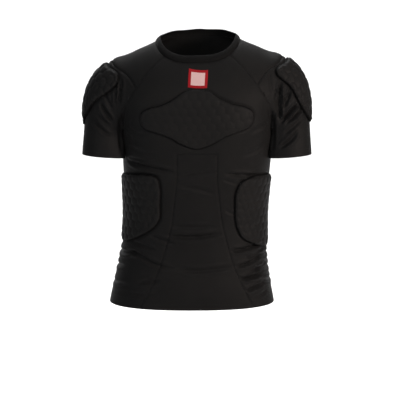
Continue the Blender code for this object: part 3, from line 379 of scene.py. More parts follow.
        def meeting(z: Points) -> Points:
            """Where both surfaces are as near.

            Args:
                z: heights.

            Returns:
                Points.
            """
            low, high = np.full(len(y), near), np.full(len(y), far)
            for _ in range(halvings):
                x = (low + high) / 2
                points = np.column_stack([x, y, z])
                torso = self.torso(points)
                in_torso = torso < self.arm(points, torso)
                low, high = np.where(in_torso, x, low), np.where(in_torso, high, x)
            return np.column_stack([(low + high) / 2, y, z])

        bottom, top = np.full(len(y), foot), np.full(len(y), head)
        for _ in range(halvings):
            z = (bottom + top) / 2
            outside = self.distance(meeting(z)) > 0
            bottom, top = np.where(outside, z, bottom), np.where(outside, top, z)
        return meeting((bottom + top) / 2)


@dataclass(frozen=True)
class Stance:
    """The body's sideways lean and the tilt of its shoulders, put on every piece last."""

    tilt: float = 0.027
    tilt_foot: float = -260.0
    tilt_top: float = -90.0
    sway: Curve = field(default_factory=lambda: Curve(SWAY, "x"))

    def world(self, points: Points) -> Points:
        """Lean upright points.

        Args:
            points: places on the upright figure, in millimetres.

        Returns:
            The places as worn.
        """
        moved = points.copy()
        moved[:, 0] += self.sway(points[:, 2])
        moved[:, 2] += self.tilt * points[:, 0] * ease(points[:, 2], self.tilt_foot, self.tilt_top)
        return moved

    def upright(self, path: Points) -> Points:
        """Take the lean off a front-view path.

        Args:
            path: (x, z) places as worn.

        Returns:
            The (x, z) places on the upright figure.
        """
        x, z = path[:, 0], path[:, 1]
        return np.column_stack(
            [x - self.sway(z), z - self.tilt * x * ease(z, self.tilt_foot, self.tilt_top)]
        )


FIGURE = Figure()
STANCE = Stance()
SIDES = ((1, "right"), (-1, "left"))


class BodyChart:
    """The body laid flat: length round the chest against height, seen from one side."""

    centre_y = 6.0
    dome_z = -200.0
    dome_radius = 140.0
    turns_read = 481

    def __init__(self, facing: Facing) -> None:
        """Measure the chest.

        Args:
            facing: the side in the chart's middle.
        """
        self.facing = facing.value
        turns = np.linspace(-math.pi, math.pi, self.turns_read)
        ring = self.cast(turns, np.full(len(turns), self.dome_z))
        length = run_lengths(ring)
        self.turns, self.lengths = turns, length - length[len(length) // 2]

    def cast(self, turn: Points, rise: Points) -> Points:
        """Points of the figure at a turn round the body.

        Args:
            turn: angles from the chart's middle.
            rise: heights in the chart.

        Returns:
            Points of the figure.
        """
        lift = np.maximum(rise - self.dome_z, 0) / self.dome_radius
        origins = np.column_stack([0 * turn, 0 * turn + self.centre_y, np.minimum(rise, self.dome_z)])
        across, away = -self.facing * np.sin(turn), self.facing * np.cos(turn)
        directions = np.column_stack([across * np.cos(lift), away * np.cos(lift), np.sin(lift)])
        return FIGURE.march(origins, directions, leaving=True)

    def lay(self, points: Points) -> Points:
        """Chart places of points on the body.

        Args:
            points: points of the figure.

        Returns:
            (length, height) places.
        """
        across, away = -self.facing * points[:, 0], self.facing * (points[:, 1] - self.centre_y)
        turn = np.arctan2(across, away)
        over = points[:, 2] - self.dome_z
        dome = np.arctan2(over, np.hypot(across, away)) * self.dome_radius
        rise = self.dome_z + np.where(over > 0, dome, over)
        return np.column_stack([np.interp(turn, self.turns, self.lengths), rise])

    def raise_up(self, flat: Points) -> Points:
        """Points of the body at chart places."""
        return self.cast(np.interp(flat[:, 0], self.lengths, self.turns), flat[:, 1])


class SpinePoint(NamedTuple):
    """Middle of the sleeve on one of the planes that fan out from the pivot."""

    angle: float
    reach: float
    y: float


SLEEVE_SPINE = table(
    SpinePoint, (8, 172, -16), (22, 181, -14), (30, 194, -9), (36, 207, -4), (42, 228, 0), (52, 245, 5),
    (62, 250, 6), (72, 252, 6), (88, 262, 6)
)


class SleeveChart:
    """The sleeve and yoke laid flat: length round the arm against length along it."""

    pivot = (40.0, -300.0)
    round_radius = 58.0
    along_radius = 265.0

    def __init__(self) -> None:
        """Read the sleeve's spine."""
        self.reach = Curve(SLEEVE_SPINE, "reach", "angle")
        self.middle = Curve(SLEEVE_SPINE, "y", "angle")

    def lay(self, points: Points) -> Points:
        """Chart places of points on the sleeve.

        Args:
            points: points of the figure.

        Returns:
            (round, along) places.
        """
        over, up = points[:, 0] - self.pivot[0], points[:, 2] - self.pivot[1]
        angle = np.arctan2(up, over)
        degrees = np.degrees(angle)
        turn = np.arctan2(points[:, 1] - self.middle(degrees), np.hypot(over, up) - self.reach(degrees))
        return np.column_stack([turn * self.round_radius, angle * self.along_radius])

    def raise_up(self, flat: Points) -> Points:
        """Points of the sleeve at chart places.

        Args:
            flat: (round, along) places.

        Returns:
            Points of the figure.
        """
        turn, angle = flat[:, 0] / self.round_radius, flat[:, 1] / self.along_radius
        degrees = np.degrees(angle)
        reach, away_x, away_z = self.reach(degrees), np.cos(angle), np.sin(angle)
        origins = np.column_stack(
            [self.pivot[0] + reach * away_x, self.middle(degrees), self.pivot[1] + reach * away_z]
        )
        directions = np.column_stack([np.cos(turn) * away_x, np.sin(turn), np.cos(turn) * away_z])
        return FIGURE.march(origins, directions, leaving=True)


Chart = BodyChart | SleeveChart


def resample(points: Points, spacing: float) -> Points:
    """Even out a polyline.

    Args:
        points: its corners.
        spacing: wanted distance between points.

    Returns:
        Points at about that distance, the ends kept.
    """
    length = run_lengths(points)
    count = max(int(round(length[-1] / spacing)), 1)
    at = np.linspace(0, length[-1], count + 1)
    return np.column_stack([np.interp(at, length, points[:, k]) for k in range(points.shape[1])])


def dashes(places: Points, ahead: Points, length: float) -> Points:
    """Start, middle and end of a dash from each place, one below the other."""
    steps = np.array([0, length / 2, length])[None, :, None]
    return (places[:, None] + ahead[:, None] * steps).reshape(-1, places.shape[1])


def closed(loop: Points) -> Points:
    """The loop with its first point again at the end."""
    return np.vstack([loop, loop[:1]])


def smooth_line(points: Sequence, dense: int = 12) -> Points:
    """Draw a smooth curve through the rows of a table.

    Args:
        points: the rows.
        dense: steps from row to row.

    Returns:
        The curve as short steps.
    """
    points = np.asarray(points, float)
    slopes = np.gradient(points, axis=0)
    pieces = []
    for k in range(len(points) - 1):
        t = np.linspace(0, 1, dense, endpoint=k == len(points) - 2)[:, None]
        pieces.append(
            (1 + 2 * t) * (1 - t) ** 2 * points[k]
            + t * (1 - t) ** 2 * slopes[k]
            + t * t * (3 - 2 * t) * points[k + 1]
            + t * t * (t - 1) * slopes[k + 1]
        )
    return np.vstack(pieces)


def smooth_loop(points: Points, spacing: float) -> Points:
    """Draw a smooth closed curve through the rows of a table.

    Args:
        points: the rows.
        spacing: distance between the points given back.

    Returns:
        Points on the curve, the first not repeated.
    """
    dense = 12
    line = smooth_line(np.vstack([points[-2:], points, points[:3]]), dense)
    return resample(line[2 * dense : (2 + len(points)) * dense + 1], spacing)[:-1]


# Seams of one side, seen from the front or from behind.
RAGLAN_FRONT = table(
    Place, (90, -47), (107, -64), (122, -82), (133, -96), (149, -122), (161, -143), (165, -158)
)
RAGLAN_BACK = table(Place, (92, -31), (112, -60), (130, -92), (145, -118), (158, -143), (165, -163))
YOKE_FRONT = table(Place, (184, -46), (172, -56), (158, -64), (146, -76))
YOKE_BACK = table(Place, (184, -45), (172, -55), (158, -66), (146, -80))
NECKLINE_FRONT = table(
    Place, (0, -44), (18, -44), (36, -42.5), (52, -38.5), (67, -32), (79, -23), (88, -12), (93.5, -2)
)
CENTRE_SEAM = table(
    Place, (44, -240), (44, -300), (50, -352), (56, -398), (68, -446), (83, -494), (103, -540), (128, -586)
)


class SidePoint(NamedTuple):
    """The side seam: turn from the front middle towards the back, in degrees, at a height."""

    z: float
    turn: float


SIDE_SEAM = table(SidePoint, (-600, 118), (-420, 119), (-290, 118), (-240, 108), (-199, 90))


def mirrored(line: Points) -> Points:
    """The same line on the other side of the body, walked the other way."""
    return (line * (-1, 1, 1))[::-1]


@dataclass
class Pattern:
    """Every shared line of the shirt as points on the figure, on the +X side or round it."""

    step: float = 4.0
    hem_z: float = -586.0
    centre_top_z: float = -240.0
    raglan_top_x: float = 70.0
    raglan_top_back_y: float = 46.0
    yoke_join_z: float = -95.0
    yoke_top: tuple[float, float] = (189.0, 10.0)
    neck_side: tuple[float, float] = (95.0, 8.0)
    neck_back_y: float = 74.0
    neck_back_points: int = 10
    cuff_points: ClassVar[int] = 73
    underarm_front: tuple[float, ...] = (-46.0, -31.0, -16.0, 0.0)
    underarm_back: tuple[float, ...] = (44.0, 30.0, 15.0)

    def __post_init__(self) -> None:
        """Work out the lines."""
        front, side, back = self.neckline()
        self.neck_front = np.vstack([mirrored(front)[:-1], front])
        self.neck_saddle = side
        self.neck_back = np.vstack([back, mirrored(back)[1:]])
        self.raglan_front = self.raglan(side[:1], RAGLAN_FRONT, Facing.FRONT, self.underarm_front)
        armpit = self.raglan_front[-1:]
        behind = self.raglan(side[-1:], RAGLAN_BACK, Facing.BACK, self.underarm_back + (0.0,))
        self.raglan_back = np.vstack([behind[:-1], armpit])
        self.join_front = int(np.argmin(np.abs(self.raglan_front[:, 2] - self.yoke_join_z)))
        self.join_back = int(np.argmin(np.abs(self.raglan_back[:, 2] - self.yoke_join_z)))
        self.yoke = self.yoke_seam()
        self.side = self.side_seam(armpit[0])
        self.cuff = self.cuff_ring()
        self.centre_right = self.centre_seam(1.0)
        self.centre_left = self.centre_seam(-1.0)
        ends = self.centre_left[0, 0], self.centre_right[0, 0]
        across = np.linspace(*ends, int(round((ends[1] - ends[0]) / self.step)) + 1)
        self.centre_top = FIGURE.seen_at(across, np.full(len(across), self.centre_top_z), Facing.FRONT)
        self.centre_top[0], self.centre_top[-1] = self.centre_left[0], self.centre_right[0]

    def neckline(self) -> tuple[Points, Points, Points]:
        """The collar seam of one side.

        Returns:
            Its front, side and back stretches, cut where the shoulder seams meet it.
        """
        front = FIGURE.seen_at(*np.transpose(NECKLINE_FRONT), Facing.FRONT)
        side_x, side_y = self.neck_side
        turn = np.radians(np.linspace(0, 90, self.neck_back_points))
        deep = self.neck_back_y - side_y
        back = FIGURE.seen_from_above(side_x * np.cos(turn), side_y + deep * np.sin(turn))
        line = smooth_line(np.vstack([front, back]))
        line = FIGURE.seen_from_above(line[:, 0], line[:, 1])
        line[0, 0] = line[-1, 0] = 0
        first = int(np.argmax(line[:, 0] > self.raglan_top_x))
        last = int(np.argmax(line[:, 1] > self.raglan_top_back_y))
        return (
            resample(line[: first + 1], self.step), resample(line[first : last + 1], self.step),
            resample(line[last:], self.step)
        )

    def neck_ring(self) -> Points:
        """The whole collar seam, its first point not repeated."""
        left = mirrored(self.neck_saddle)
        return np.vstack([self.neck_front[:-1], self.neck_saddle[:-1], self.neck_back[:-1], left[:-1]])

    def raglan(self, top: Points, rows: Sequence[Place], facing: Facing, under: Sequence[float]) -> Points:
        """A shoulder seam from the collar to the armpit.

        Args:
            top: its first point, on the collar seam.
            rows: its places seen from one side.
            facing: that side.
            under: the y of its last points, in the armpit.

        Returns:
            Points of the seam.
        """
        path = resample(smooth_line(rows), self.step)
        shown = FIGURE.seen_at(path[:, 0], path[:, 1], facing)
        first = shown[:1]
        steps = max(int(np.linalg.norm(first - top) / self.step), 1)
        share = np.linspace(0, 1, steps, endpoint=False)[1:, None]
        bridge = top + (first - top) * share
        bridge = FIGURE.seen_from_above(bridge[:, 0], bridge[:, 1]) if len(bridge) else bridge
        valley = FIGURE.valley(np.linspace(under[0], under[-1], int(abs(under[-1] - under[0]) / 4) + 1))
        gap = valley[:1] - shown[-1:]
        count = max(int(np.linalg.norm(gap) / self.step), 1)
        between = shown[-1:] + gap * np.linspace(0, 1, count, endpoint=False)[1:, None]
        return np.vstack([top, bridge, shown, between, valley])

    def yoke_seam(self) -> Points:
        """The seam over the shoulder.

        Returns:
            Points from the front shoulder seam over the top to the back one.
        """
        chart = SleeveChart()
        line = np.vstack(
            [
                self.raglan_front[self.join_front],
                FIGURE.seen_at(*np.transpose(YOKE_FRONT), Facing.FRONT)[::-1],
                FIGURE.seen_from_above(*self.yoke_top),
                FIGURE.seen_at(*np.transpose(YOKE_BACK), Facing.BACK),
                self.raglan_back[self.join_back],
            ]
        )
        ends = line[[0, -1]]
        line = chart.raise_up(chart.lay(resample(smooth_line(line), self.step)))
        line[0], line[-1] = ends
        return line

    def side_seam(self, armpit: Points) -> Points:
        """The seam down the side, behind the rib pad.

        Args:
            armpit: its first point.

        Returns:
            Points down to the hem.
        """
        turn = Curve(SIDE_SEAM, "turn")
        z = np.linspace(armpit[2], self.hem_z, int(round((armpit[2] - self.hem_z) / self.step)) + 1)
        line = BodyChart(Facing.FRONT).cast(np.radians(turn(z)), z)
        line[0] = armpit
        return line

    @staticmethod
    def cuff_ring(up: float = 0.0) -> Points:
        """A ring round the sleeve, its open end if not moved.

        Args:
            up: distance up from the open end.

        Returns:
            Points from its inner side round the front and back again.
        """
        turn = np.linspace(-math.pi, math.pi, Pattern.cuff_points)
        middle, level = FIGURE.cuff_middle
        level += up
        middle_y = FIGURE.arm_section(np.full(len(turn), level))[2]
        origins = np.column_stack([0 * turn + middle, middle_y, 0 * turn + level])
        slope = FIGURE.cuff_slope * np.cos(turn)
        return FIGURE.march(
            origins, unit(np.column_stack([np.cos(turn), np.sin(turn), slope])), leaving=True
        )

    def centre_seam(self, side: float) -> Points:
        """The seam of the belly panel.

        Args:
            side: 1 or -1.

        Returns:
            Points from its top corner to the hem.
        """
        x, z = np.transpose(CENTRE_SEAM)
        path = smooth_line(np.column_stack([side * x - STANCE.sway(z), z]))
        path = resample(path, self.step)
        return FIGURE.seen_at(path[:, 0], path[:, 1], Facing.FRONT)

    def hem(self, chart: BodyChart, first: Points, last: Points) -> Points:
        """The hem between two places.

        Args:
            chart: the chart of that side of the body.
            first: start of the stretch.
            last: its end.

        Returns:
            Points of the hem.
        """
        ends = chart.lay(np.array([first, last]))
        ends[:, 1] = self.hem_z
        line = chart.raise_up(resample(ends, self.step))
        line[0], line[-1] = first, last
        return line


class Crease(NamedTuple):
    """A crease as worn: the side it shows on, its (x, z) path, depth and half width."""

    facing: Facing
    path: tuple[tuple[float, float], ...]
    depth: float
    width: float


F, B = Facing.FRONT, Facing.BACK
CREASES = table(
    Crease, (F, ((184, -82), (180, -122), (182, -175)), 5.6, 5.0),
    (F, ((171, -100), (173, -127), (175, -155)), 3.4, 4.2),
    (F, ((206, -100), (199, -122), (188, -144)), 4.4, 4.6), (F, ((195, -111), (190, -133)), 2.6, 3.8),
    (F, ((223, -135), (204, -153), (182, -177)), 6.0, 5.0),
    (F, ((234, -144), (215, -160), (193, -177)), 5.0, 4.8),
    (F, ((229, -168), (212, -184), (190, -200)), 2.8, 4.8),
    (F, ((221, -193), (208, -211), (188, -226), (182, -231)), 4.0, 5.4),
    (F, ((158, -64), (160, -90), (166, -118)), 1.4, 4.2),
    (F, ((-166, -80), (-166, -100), (-170, -135)), 4.0, 5.0),
    (F, ((-177, -87), (-177, -116), (-179, -135)), 2.6, 4.2), (F, ((-188, -120), (-186, -133)), 1.8, 4.0),
    (F, ((-212, -133), (-203, -149), (-186, -173)), 4.4, 5.2),
    (F, ((-204, -108), (-196, -126), (-185, -146)), 2.4, 4.4),
    (F, ((-224, -152), (-208, -168), (-190, -186)), 2.0, 4.6),
    (F, ((-230, -169), (-216, -184), (-201, -197), (-186, -204)), 3.2, 5.2),
    (F, ((156, -140), (166, -178), (167, -214), (167, -240)), 2.6, 6.5),
    (F, ((-156, -140), (-166, -178), (-167, -214), (-167, -240)), 3.0, 7.0),
    (F, ((-154, -259), (-110, -270), (-45, -281)), 4.2, 6.2), (F, ((-150, -252), (-113, -257)), 1.9, 4.2),
    (F, ((59, -283), (100, -288), (141, -292)), 3.6, 5.2),
    (F, ((-45, -292), (2, -284), (46, -278)), 2.4, 5.0),
    (F, ((-45, -307), (0, -316), (39, -327)), 2.0, 6.0),
    (F, ((57, -296), (74, -302), (89, -307)), 1.4, 4.2), (F, ((61, -364), (83, -375)), 1.2, 4.6),
    (F, ((154, -178), (134, -186), (116, -196)), 1.5, 6.0),
    (F, ((-154, -184), (-132, -196), (-112, -202)), 1.5, 6.0),
    (F, ((-150, -226), (-120, -238), (-84, -244)), 1.3, 6.5),
    (F, ((150, -222), (126, -236), (96, -246)), 1.2, 6.5),
    (F, ((-58, -399), (-10, -402), (39, -399)), 2.6, 5.6),
    (F, ((-69, -421), (-6, -423), (57, -416)), 3.8, 5.8),
    (F, ((-102, -423), (-74, -432), (-47, -440)), 2.4, 5.4),
    (F, ((-145, -440), (-118, -447), (-91, -454)), 2.6, 5.0),
    (F, ((-160, -460), (-134, -465), (-91, -486), (-47, -495)), 3.2, 5.8),
    (F, ((-47, -495), (-4, -498), (39, -495), (80, -491)), 3.2, 6.0),
    (F, ((-132, -528), (-106, -524), (-80, -522)), 2.6, 5.6),
    (F, ((-150, -552), (-122, -556), (-84, -552)), 2.0, 5.6),
    (F, ((72, -456), (108, -453), (141, -447)), 4.2, 5.0),
    (F, ((83, -493), (112, -486), (141, -476)), 4.0, 5.0),
    (F, ((94, -519), (120, -518), (146, -513)), 4.8, 5.0),
    (F, ((107, -546), (130, -541), (150, -535)), 3.6, 4.6),
    (F, ((104, -470), (128, -466), (150, -459)), 1.8, 4.0),
    (F, ((118, -505), (138, -499), (154, -493)), 1.8, 4.0),
    (F, ((120, -566), (142, -560), (156, -553)), 1.6, 5.0),
    (B, ((178, -84), (186, -124), (183, -170)), 4.0, 5.6),
    (B, ((200, -104), (197, -126), (188, -150)), 2.4, 4.6),
    (B, ((226, -128), (208, -150), (188, -174)), 4.0, 5.4),
    (B, ((234, -158), (214, -176), (190, -192)), 2.6, 5.2),
    (B, ((222, -204), (204, -216), (184, -224)), 2.2, 5.8),
    (B, ((-172, -86), (-181, -122), (-181, -166)), 4.0, 5.6),
    (B, ((-202, -110), (-197, -132), (-188, -152)), 2.2, 4.6),
    (B, ((-228, -148), (-210, -164), (-189, -182)), 3.8, 5.4),
    (B, ((-230, -186), (-208, -200), (-186, -208)), 2.4, 5.6),
    (B, ((150, -152), (122, -168), (88, -176)), 1.8, 7.0),
    (B, ((-150, -158), (-120, -176), (-84, -180)), 1.8, 7.0),
    (B, ((152, -212), (116, -230), (70, -238)), 1.6, 7.0),
    (B, ((-152, -218), (-112, -240), (-60, -246)), 1.6, 7.0),
    (B, ((-34, -92), (0, -98), (36, -90)), 1.2, 9.0),
    (B, ((-118, -352), (-64, -362), (-6, -360)), 2.0, 6.4),
    (B, ((-100, -392), (-10, -400), (84, -388)), 3.2, 7.4),
    (B, ((18, -372), (70, -366), (120, -352)), 2.2, 6.0),
    (B, ((-78, -438), (12, -445), (96, -436)), 2.8, 7.0),
    (B, ((-128, -414), (-100, -420), (-62, -424)), 2.0, 5.0),
    (B, ((58, -414), (96, -410), (132, -400)), 2.0, 5.2),
    (B, ((-146, -470), (-112, -478), (-70, -480)), 2.2, 5.6),
    (B, ((40, -476), (88, -474), (130, -462)), 2.2, 5.6),
    (B, ((-150, -520), (-118, -524), (-86, -520)), 1.6, 6.0),
    (B, ((84, -516), (112, -514), (142, -506)), 1.7, 5.4)
)


class FlankCrease(NamedTuple):
    """A crease round one flank: the sign of its X, its (y, z) path, depth and half width."""

    side: float
    path: tuple[tuple[float, float], ...]
    depth: float
    width: float


FLANK_CREASES = table(
    FlankCrease, (1, ((-72, -472), (-18, -475), (34, -469)), 4.0, 5.6),
    (1, ((-62, -499), (-6, -505), (50, -498)), 3.4, 5.6),
    (1, ((-58, -528), (-8, -534), (38, -529)), 2.8, 5.4),
    (-1, ((-66, -463), (-12, -470), (48, -464)), 4.0, 6.0),
    (-1, ((-44, -497), (6, -502), (58, -496)), 3.0, 5.8),
    (-1, ((-66, -536), (-16, -541), (34, -536)), 2.0, 6.0)
)


def along_line(points: Points, line: Points) -> tuple[Points, Points]:
    """Measure points against a polyline.

    Args:
        points: what is measured.
        line: the polyline.

    Returns:
        Each point's distance, and how far along the nearest place is, 0 to 1.
    """
    starts, steps = line[:-1], np.diff(line, axis=0)
    lengths = np.linalg.norm(steps, axis=1)
    before = np.concatenate([[0], np.cumsum(lengths)])
    nearest, share = np.full(len(points), np.inf), np.zeros(len(points))
    for k, (start, step) in enumerate(zip(starts, steps)):
        t = np.clip(((points - start) @ step) / (step @ step), 0, 1)
        gap = np.linalg.norm(points - start - t[:, None] * step, axis=1)
        closer = gap < nearest
        nearest = np.where(closer, gap, nearest)
        share = np.where(closer, (before[k] + t * lengths[k]) / before[-1], share)
    return nearest, share


@dataclass
class Drape:
    """How far the cloth stands out from the figure at any place on it."""

    strength: float = 1.3
    tightness: float = 0.8
    ridge: float = 0.42
    ridge_at: float = 1.75
    near: float = 30.0
    wave: float = 0.35
    hem_height: float = 0.55
    body_hem: float = 24.0
    sleeve_hem: float = 18.0
    hem_rows: tuple[float, float] = (2.6, 7.4)
    seam_depth: float = 0.8
    seam_width: float = 2.4
    pucker: float = 0.16
    pucker_pitch: float = 11.0
    pucker_reach: tuple[float, float] = (2.0, 9.0)
    pucker_drift: tuple[float, float] = (2.1, 37.0)
    fade: tuple[float, float] = (1.35, 0.8)
    taper: tuple[float, float] = (0.72, 0.28)
    line_step: float = 6.0
    hem_edge: tuple[float, float] = (0.8, 2.2)
    hem_row: tuple[float, float] = (0.7, 1.4)
    clearance: float = 0.6

    def __post_init__(self) -> None:
        """Lay every crease on the figure."""
        self.lines = []
        for crease in CREASES:
            path = resample(smooth_line(STANCE.upright(np.array(crease.path, float))), self.line_step)
            self.lines.append(FIGURE.seen_at(path[:, 0], path[:, 1], crease.facing))
        for crease in FLANK_CREASES:
            path = resample(smooth_line(np.array(crease.path, float)), self.line_step)
            self.lines.append(FIGURE.seen_sideways(path[:, 0], path[:, 1], crease.side))

    def creases(self, points: Points) -> Points:
        """Height of troughs and of the ridges beside them.

        Args:
            points: places on the upright figure.

        Returns:
            One height for each place.
        """
        total = np.zeros(len(points))
        (gain, power), (end_width, swell) = self.fade, self.taper
        for crease, line in zip((*CREASES, *FLANK_CREASES), self.lines):
            low, high = line.min(axis=0) - self.near, line.max(axis=0) + self.near
            close = np.where(np.all((points > low) & (points < high), axis=1))[0]
            if not len(close):
                continue
            away, share = along_line(points[close], line)
            fade = np.clip(4 * share * (1 - share) * gain, 0, 1) ** power
            width = crease.width * self.tightness * (end_width + swell * fade)
            trough = np.exp(-((away / width) ** 2))
            ridge = np.exp(-((away / width - self.ridge_at) ** 2) * 2)
            total[close] += self.strength * crease.depth * fade * (self.ridge * ridge - trough)
        return total

    def waves(self, points: Points) -> Points:
        """The faint unevenness of stretched cloth.

        Args:
            points: places on the upright figure.

        Returns:
            One height for each place.
        """
        x, y, z = points.T
        # Three waves of unlike lengths, in millimetres, so that none repeats.
        first = np.sin(z / 13.0 + 1.7 * np.sin(x / 61.0) + y / 47.0)
        second = np.sin(z / 7.9 - x / 39.0 + 1.3 * np.sin(z / 53.0 + 2.0))
        third = np.sin(x / 17.0 + z / 71.0 + y / 23.0)
        calm, lively, waist_z, reach = 0.35, 0.65, -430, 150
        waist = calm + lively * np.exp(-(((z - waist_z) / reach) ** 2))
        return self.wave * waist * (0.5 * first + 0.3 * second + 0.2 * third)

    def hems(self, points: Points, sleeve: bool) -> Points:
        """The doubled cloth at a hem.

        Args:
            points: places on the upright figure.
            sleeve: whether they are on a sleeve.

        Returns:
            One height for each place.
        """
        x, z = np.abs(points[:, 0]), points[:, 2]
        if sleeve:
            middle, level = FIGURE.cuff_middle
            up = z - level - FIGURE.cuff_slope * (x - middle)
            width = self.sleeve_hem
        else:
            up, width = z - PATTERN.hem_z, self.body_hem
        below, above = self.hem_edge
        depth, row_width = self.hem_row
        band = 1 - ease(up, width - below, width + above)
        rows = sum(np.exp(-(((up - width + row) / row_width) ** 2)) for row in self.hem_rows)
        return self.hem_height * (band - depth * rows)

    def seams(self, away: Points, along: Points, weight: Points | float = 1.0) -> Points:
        """The groove of a seam with its puckers.

        Args:
            away: distance from the seam.
            along: any measure that runs along it, in millimetres.
            weight: how deep this seam is against the usual one.

        Returns:
            One height for each place.
        """
        groove = -self.seam_depth * weight * np.exp(-((away / self.seam_width) ** 2))
        (near, far), (drift, length) = self.pucker_reach, self.pucker_drift
        pull = np.exp(-((away / far) ** 2)) * (1 - np.exp(-((away / near) ** 2)))
        wave = np.sin(2 * math.pi * along / self.pucker_pitch + drift * np.sin(along / length))
        return groove + self.pucker * pull * wave

    def room(self, points: Points) -> Points:
        """How far the cloth can rise before a sleeve and the flank beside it meet.

        Args:
            points: places on the upright figure.

        Returns:
            One height for each place.
        """
        torso = FIGURE.torso(points)
        gap = np.maximum(torso, FIGURE.arm(points, torso))
        return np.maximum((gap - self.clearance) / 2, -self.clearance)

    def lie(self, points: Points, sleeve: bool) -> Points:
        """Everything but the seams."""
        height = self.creases(points) + self.waves(points) + self.hems(points, sleeve)
        return np.minimum(height, self.room(points))


PATTERN = Pattern()
DRAPE = Drape()


def inside(points: Points, loop: Points) -> Points:
    """Which points lie in a closed outline.

    Args:
        points: flat places.
        loop: the outline's corners.

    Returns:
        One truth value for each place.
    """
    x, y = points[:, 0], points[:, 1]
    result = np.zeros(len(points), bool)
    for (ax, ay), (bx, by) in zip(loop, np.roll(loop, -1, axis=0)):
        crosses = (ay > y) != (by > y)
        with np.errstate(divide="ignore", invalid="ignore"):
            at = ax + (y - ay) * (bx - ax) / (by - ay)
        result ^= crosses & (x < at)
    return result


def distances(points: Points, others: Points) -> tuple[Points, Points]:
    """Nearest of some places.

    Args:
        points: flat places that are measured.
        others: flat places that they are measured to.

    Returns:
        The distance to the nearest, and its index.
    """
    tree = KDTree(len(others))
    for k, (x, y) in enumerate(others):
        tree.insert((x, y, 0.0), k)
    tree.balance()
    found = [tree.find((x, y, 0.0)) for x, y in points]
    return np.array([f[2] for f in found]), np.array([f[1] for f in found], int)


def lattice(loop: Points, spacing: float) -> Points:
    """Fill an outline with evenly spread places.

    Args:
        loop: the outline's corners.
        spacing: distance between the places.

    Returns:
        The places inside.
    """
    low, high = loop.min(axis=0), loop.max(axis=0)
    rise = spacing * math.sqrt(3) / 2
    rows = np.arange(low[1], high[1], rise)
    steps = np.arange(low[0] - spacing, high[0] + spacing, spacing)
    x, y = np.meshgrid(steps, rows)
    x = x + (np.arange(len(rows)) % 2)[:, None] * spacing / 2
    spots = np.column_stack([x.ravel(), y.ravel()])
    return spots[inside(spots, loop)]


def fill(outline: Points, spots: Points) -> Points:
    """Triangles between an outline and the places inside it.

    Args:
        outline: the corners of the outline.
        spots: places inside.

    Returns:
        Triangles as rows of indices, the outline's first.
    """
    flat = np.vstack([outline, spots])
    fixed = [(k, (k + 1) % len(outline)) for k in range(len(outline))]
    result = delaunay_2d_cdt([Vector(spot) for spot in flat], fixed, [], 0, WELD)
    if len(result[0]) != len(flat):
        raise ValueError(f"{len(flat)} places gave {len(result[0])}: an outline crosses itself")
    order = np.array([source[0] for source in result[3]])
    faces = order[np.array(result[2])]
    faces = faces[inside(flat[faces].mean(axis=1), outline)]
    x, y = outline.T
    clockwise = np.sum(x * np.roll(y, -1) - np.roll(x, -1) * y) < 0
    return faces[:, ::-1] if clockwise else faces


def net(loop: Points, spacing: float, share: float) -> tuple[Points, Points]:
    """Lay triangles in an outline.

    Args:
        loop: the outline's corners.
        spacing: distance between the places inside.
        share: how much of it they keep from the outline.

    Returns:
        The flat places, the outline's first, and the triangles.
    """
    spots = lattice(loop, spacing)
    gap, _ = distances(spots, loop)
    spots = spots[gap > spacing * share]
    return np.vstack([loop, spots]), fill(loop, spots)


def shell(upper: Points, lower: Points, triangles: Points) -> tuple[Points, Points]:
    """Close two layers into one skin.

    Args:
        upper: points of the outer layer.
        lower: points of the inner layer.
        triangles: the triangles of either layer.

    Returns:
        All points, and all triangles.
    """
    edges = np.concatenate([triangles[:, [0, 1]], triangles[:, [1, 2]], triangles[:, [2, 0]]])
    keys = {(int(a), int(b)) for a, b in edges}
    rim = np.array([(a, b) for a, b in sorted(keys) if (b, a) not in keys])
    low = len(upper)
    here, after = rim[:, 0], rim[:, 1]
    sides = np.vstack(
        [np.column_stack([after, here, here + low]), np.column_stack([after, here + low, after + low])]
    )
    return np.vstack([upper, lower]), np.vstack([triangles, triangles[:, ::-1] + low, sides])


def dress(
    name: str, points: Points, faces: Points, finishes: Sequence[bpy.types.Material],
    flat: Optional[Points] = None, side: float = 1.0, face_slots: Optional[Points] = None,
    sharp: float = 50.0
) -> bpy.types.Object:
    """Make an object that rides on the shirt.

    Args:
        name: the piece's name.
        points: places on the upright figure, in millimetres.
        faces: rows of indices.
        finishes: its materials.
        flat: chart places for its texture, in millimetres, or None.
        side: -1 mirrors it to the other side of the body.
        face_slots: the material slot of each face, or None.
        sharp: angle in degrees above which an edge stays sharp.

    Returns:
        The object.
    """
    points = np.array(points, float)
    if side < 0:
        points[:, 0] *= -1
        faces = faces[:, ::-1]
    mesh = bpy.data.meshes.new(name)
    mesh.from_pydata((STANCE.world(points) * MILLIMETRE).tolist(), [], faces.tolist())
    if flat is not None:
        layer = mesh.uv_layers.new(name="cloth")
        layer.data.foreach_set("uv", (flat[faces.ravel()] * MILLIMETRE).ravel())
    for finish in finishes:
        mesh.materials.append(finish)
    if face_slots is not None:
        mesh.polygons.foreach_set("material_index", face_slots.astype(np.int32))
    mesh.shade_smooth()
    mesh.set_sharp_from_angle(angle=math.radians(sharp))
    obj = bpy.data.objects.new(name, mesh)
    bpy.context.scene.collection.objects.link(obj)
    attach(obj, "root")
    return obj


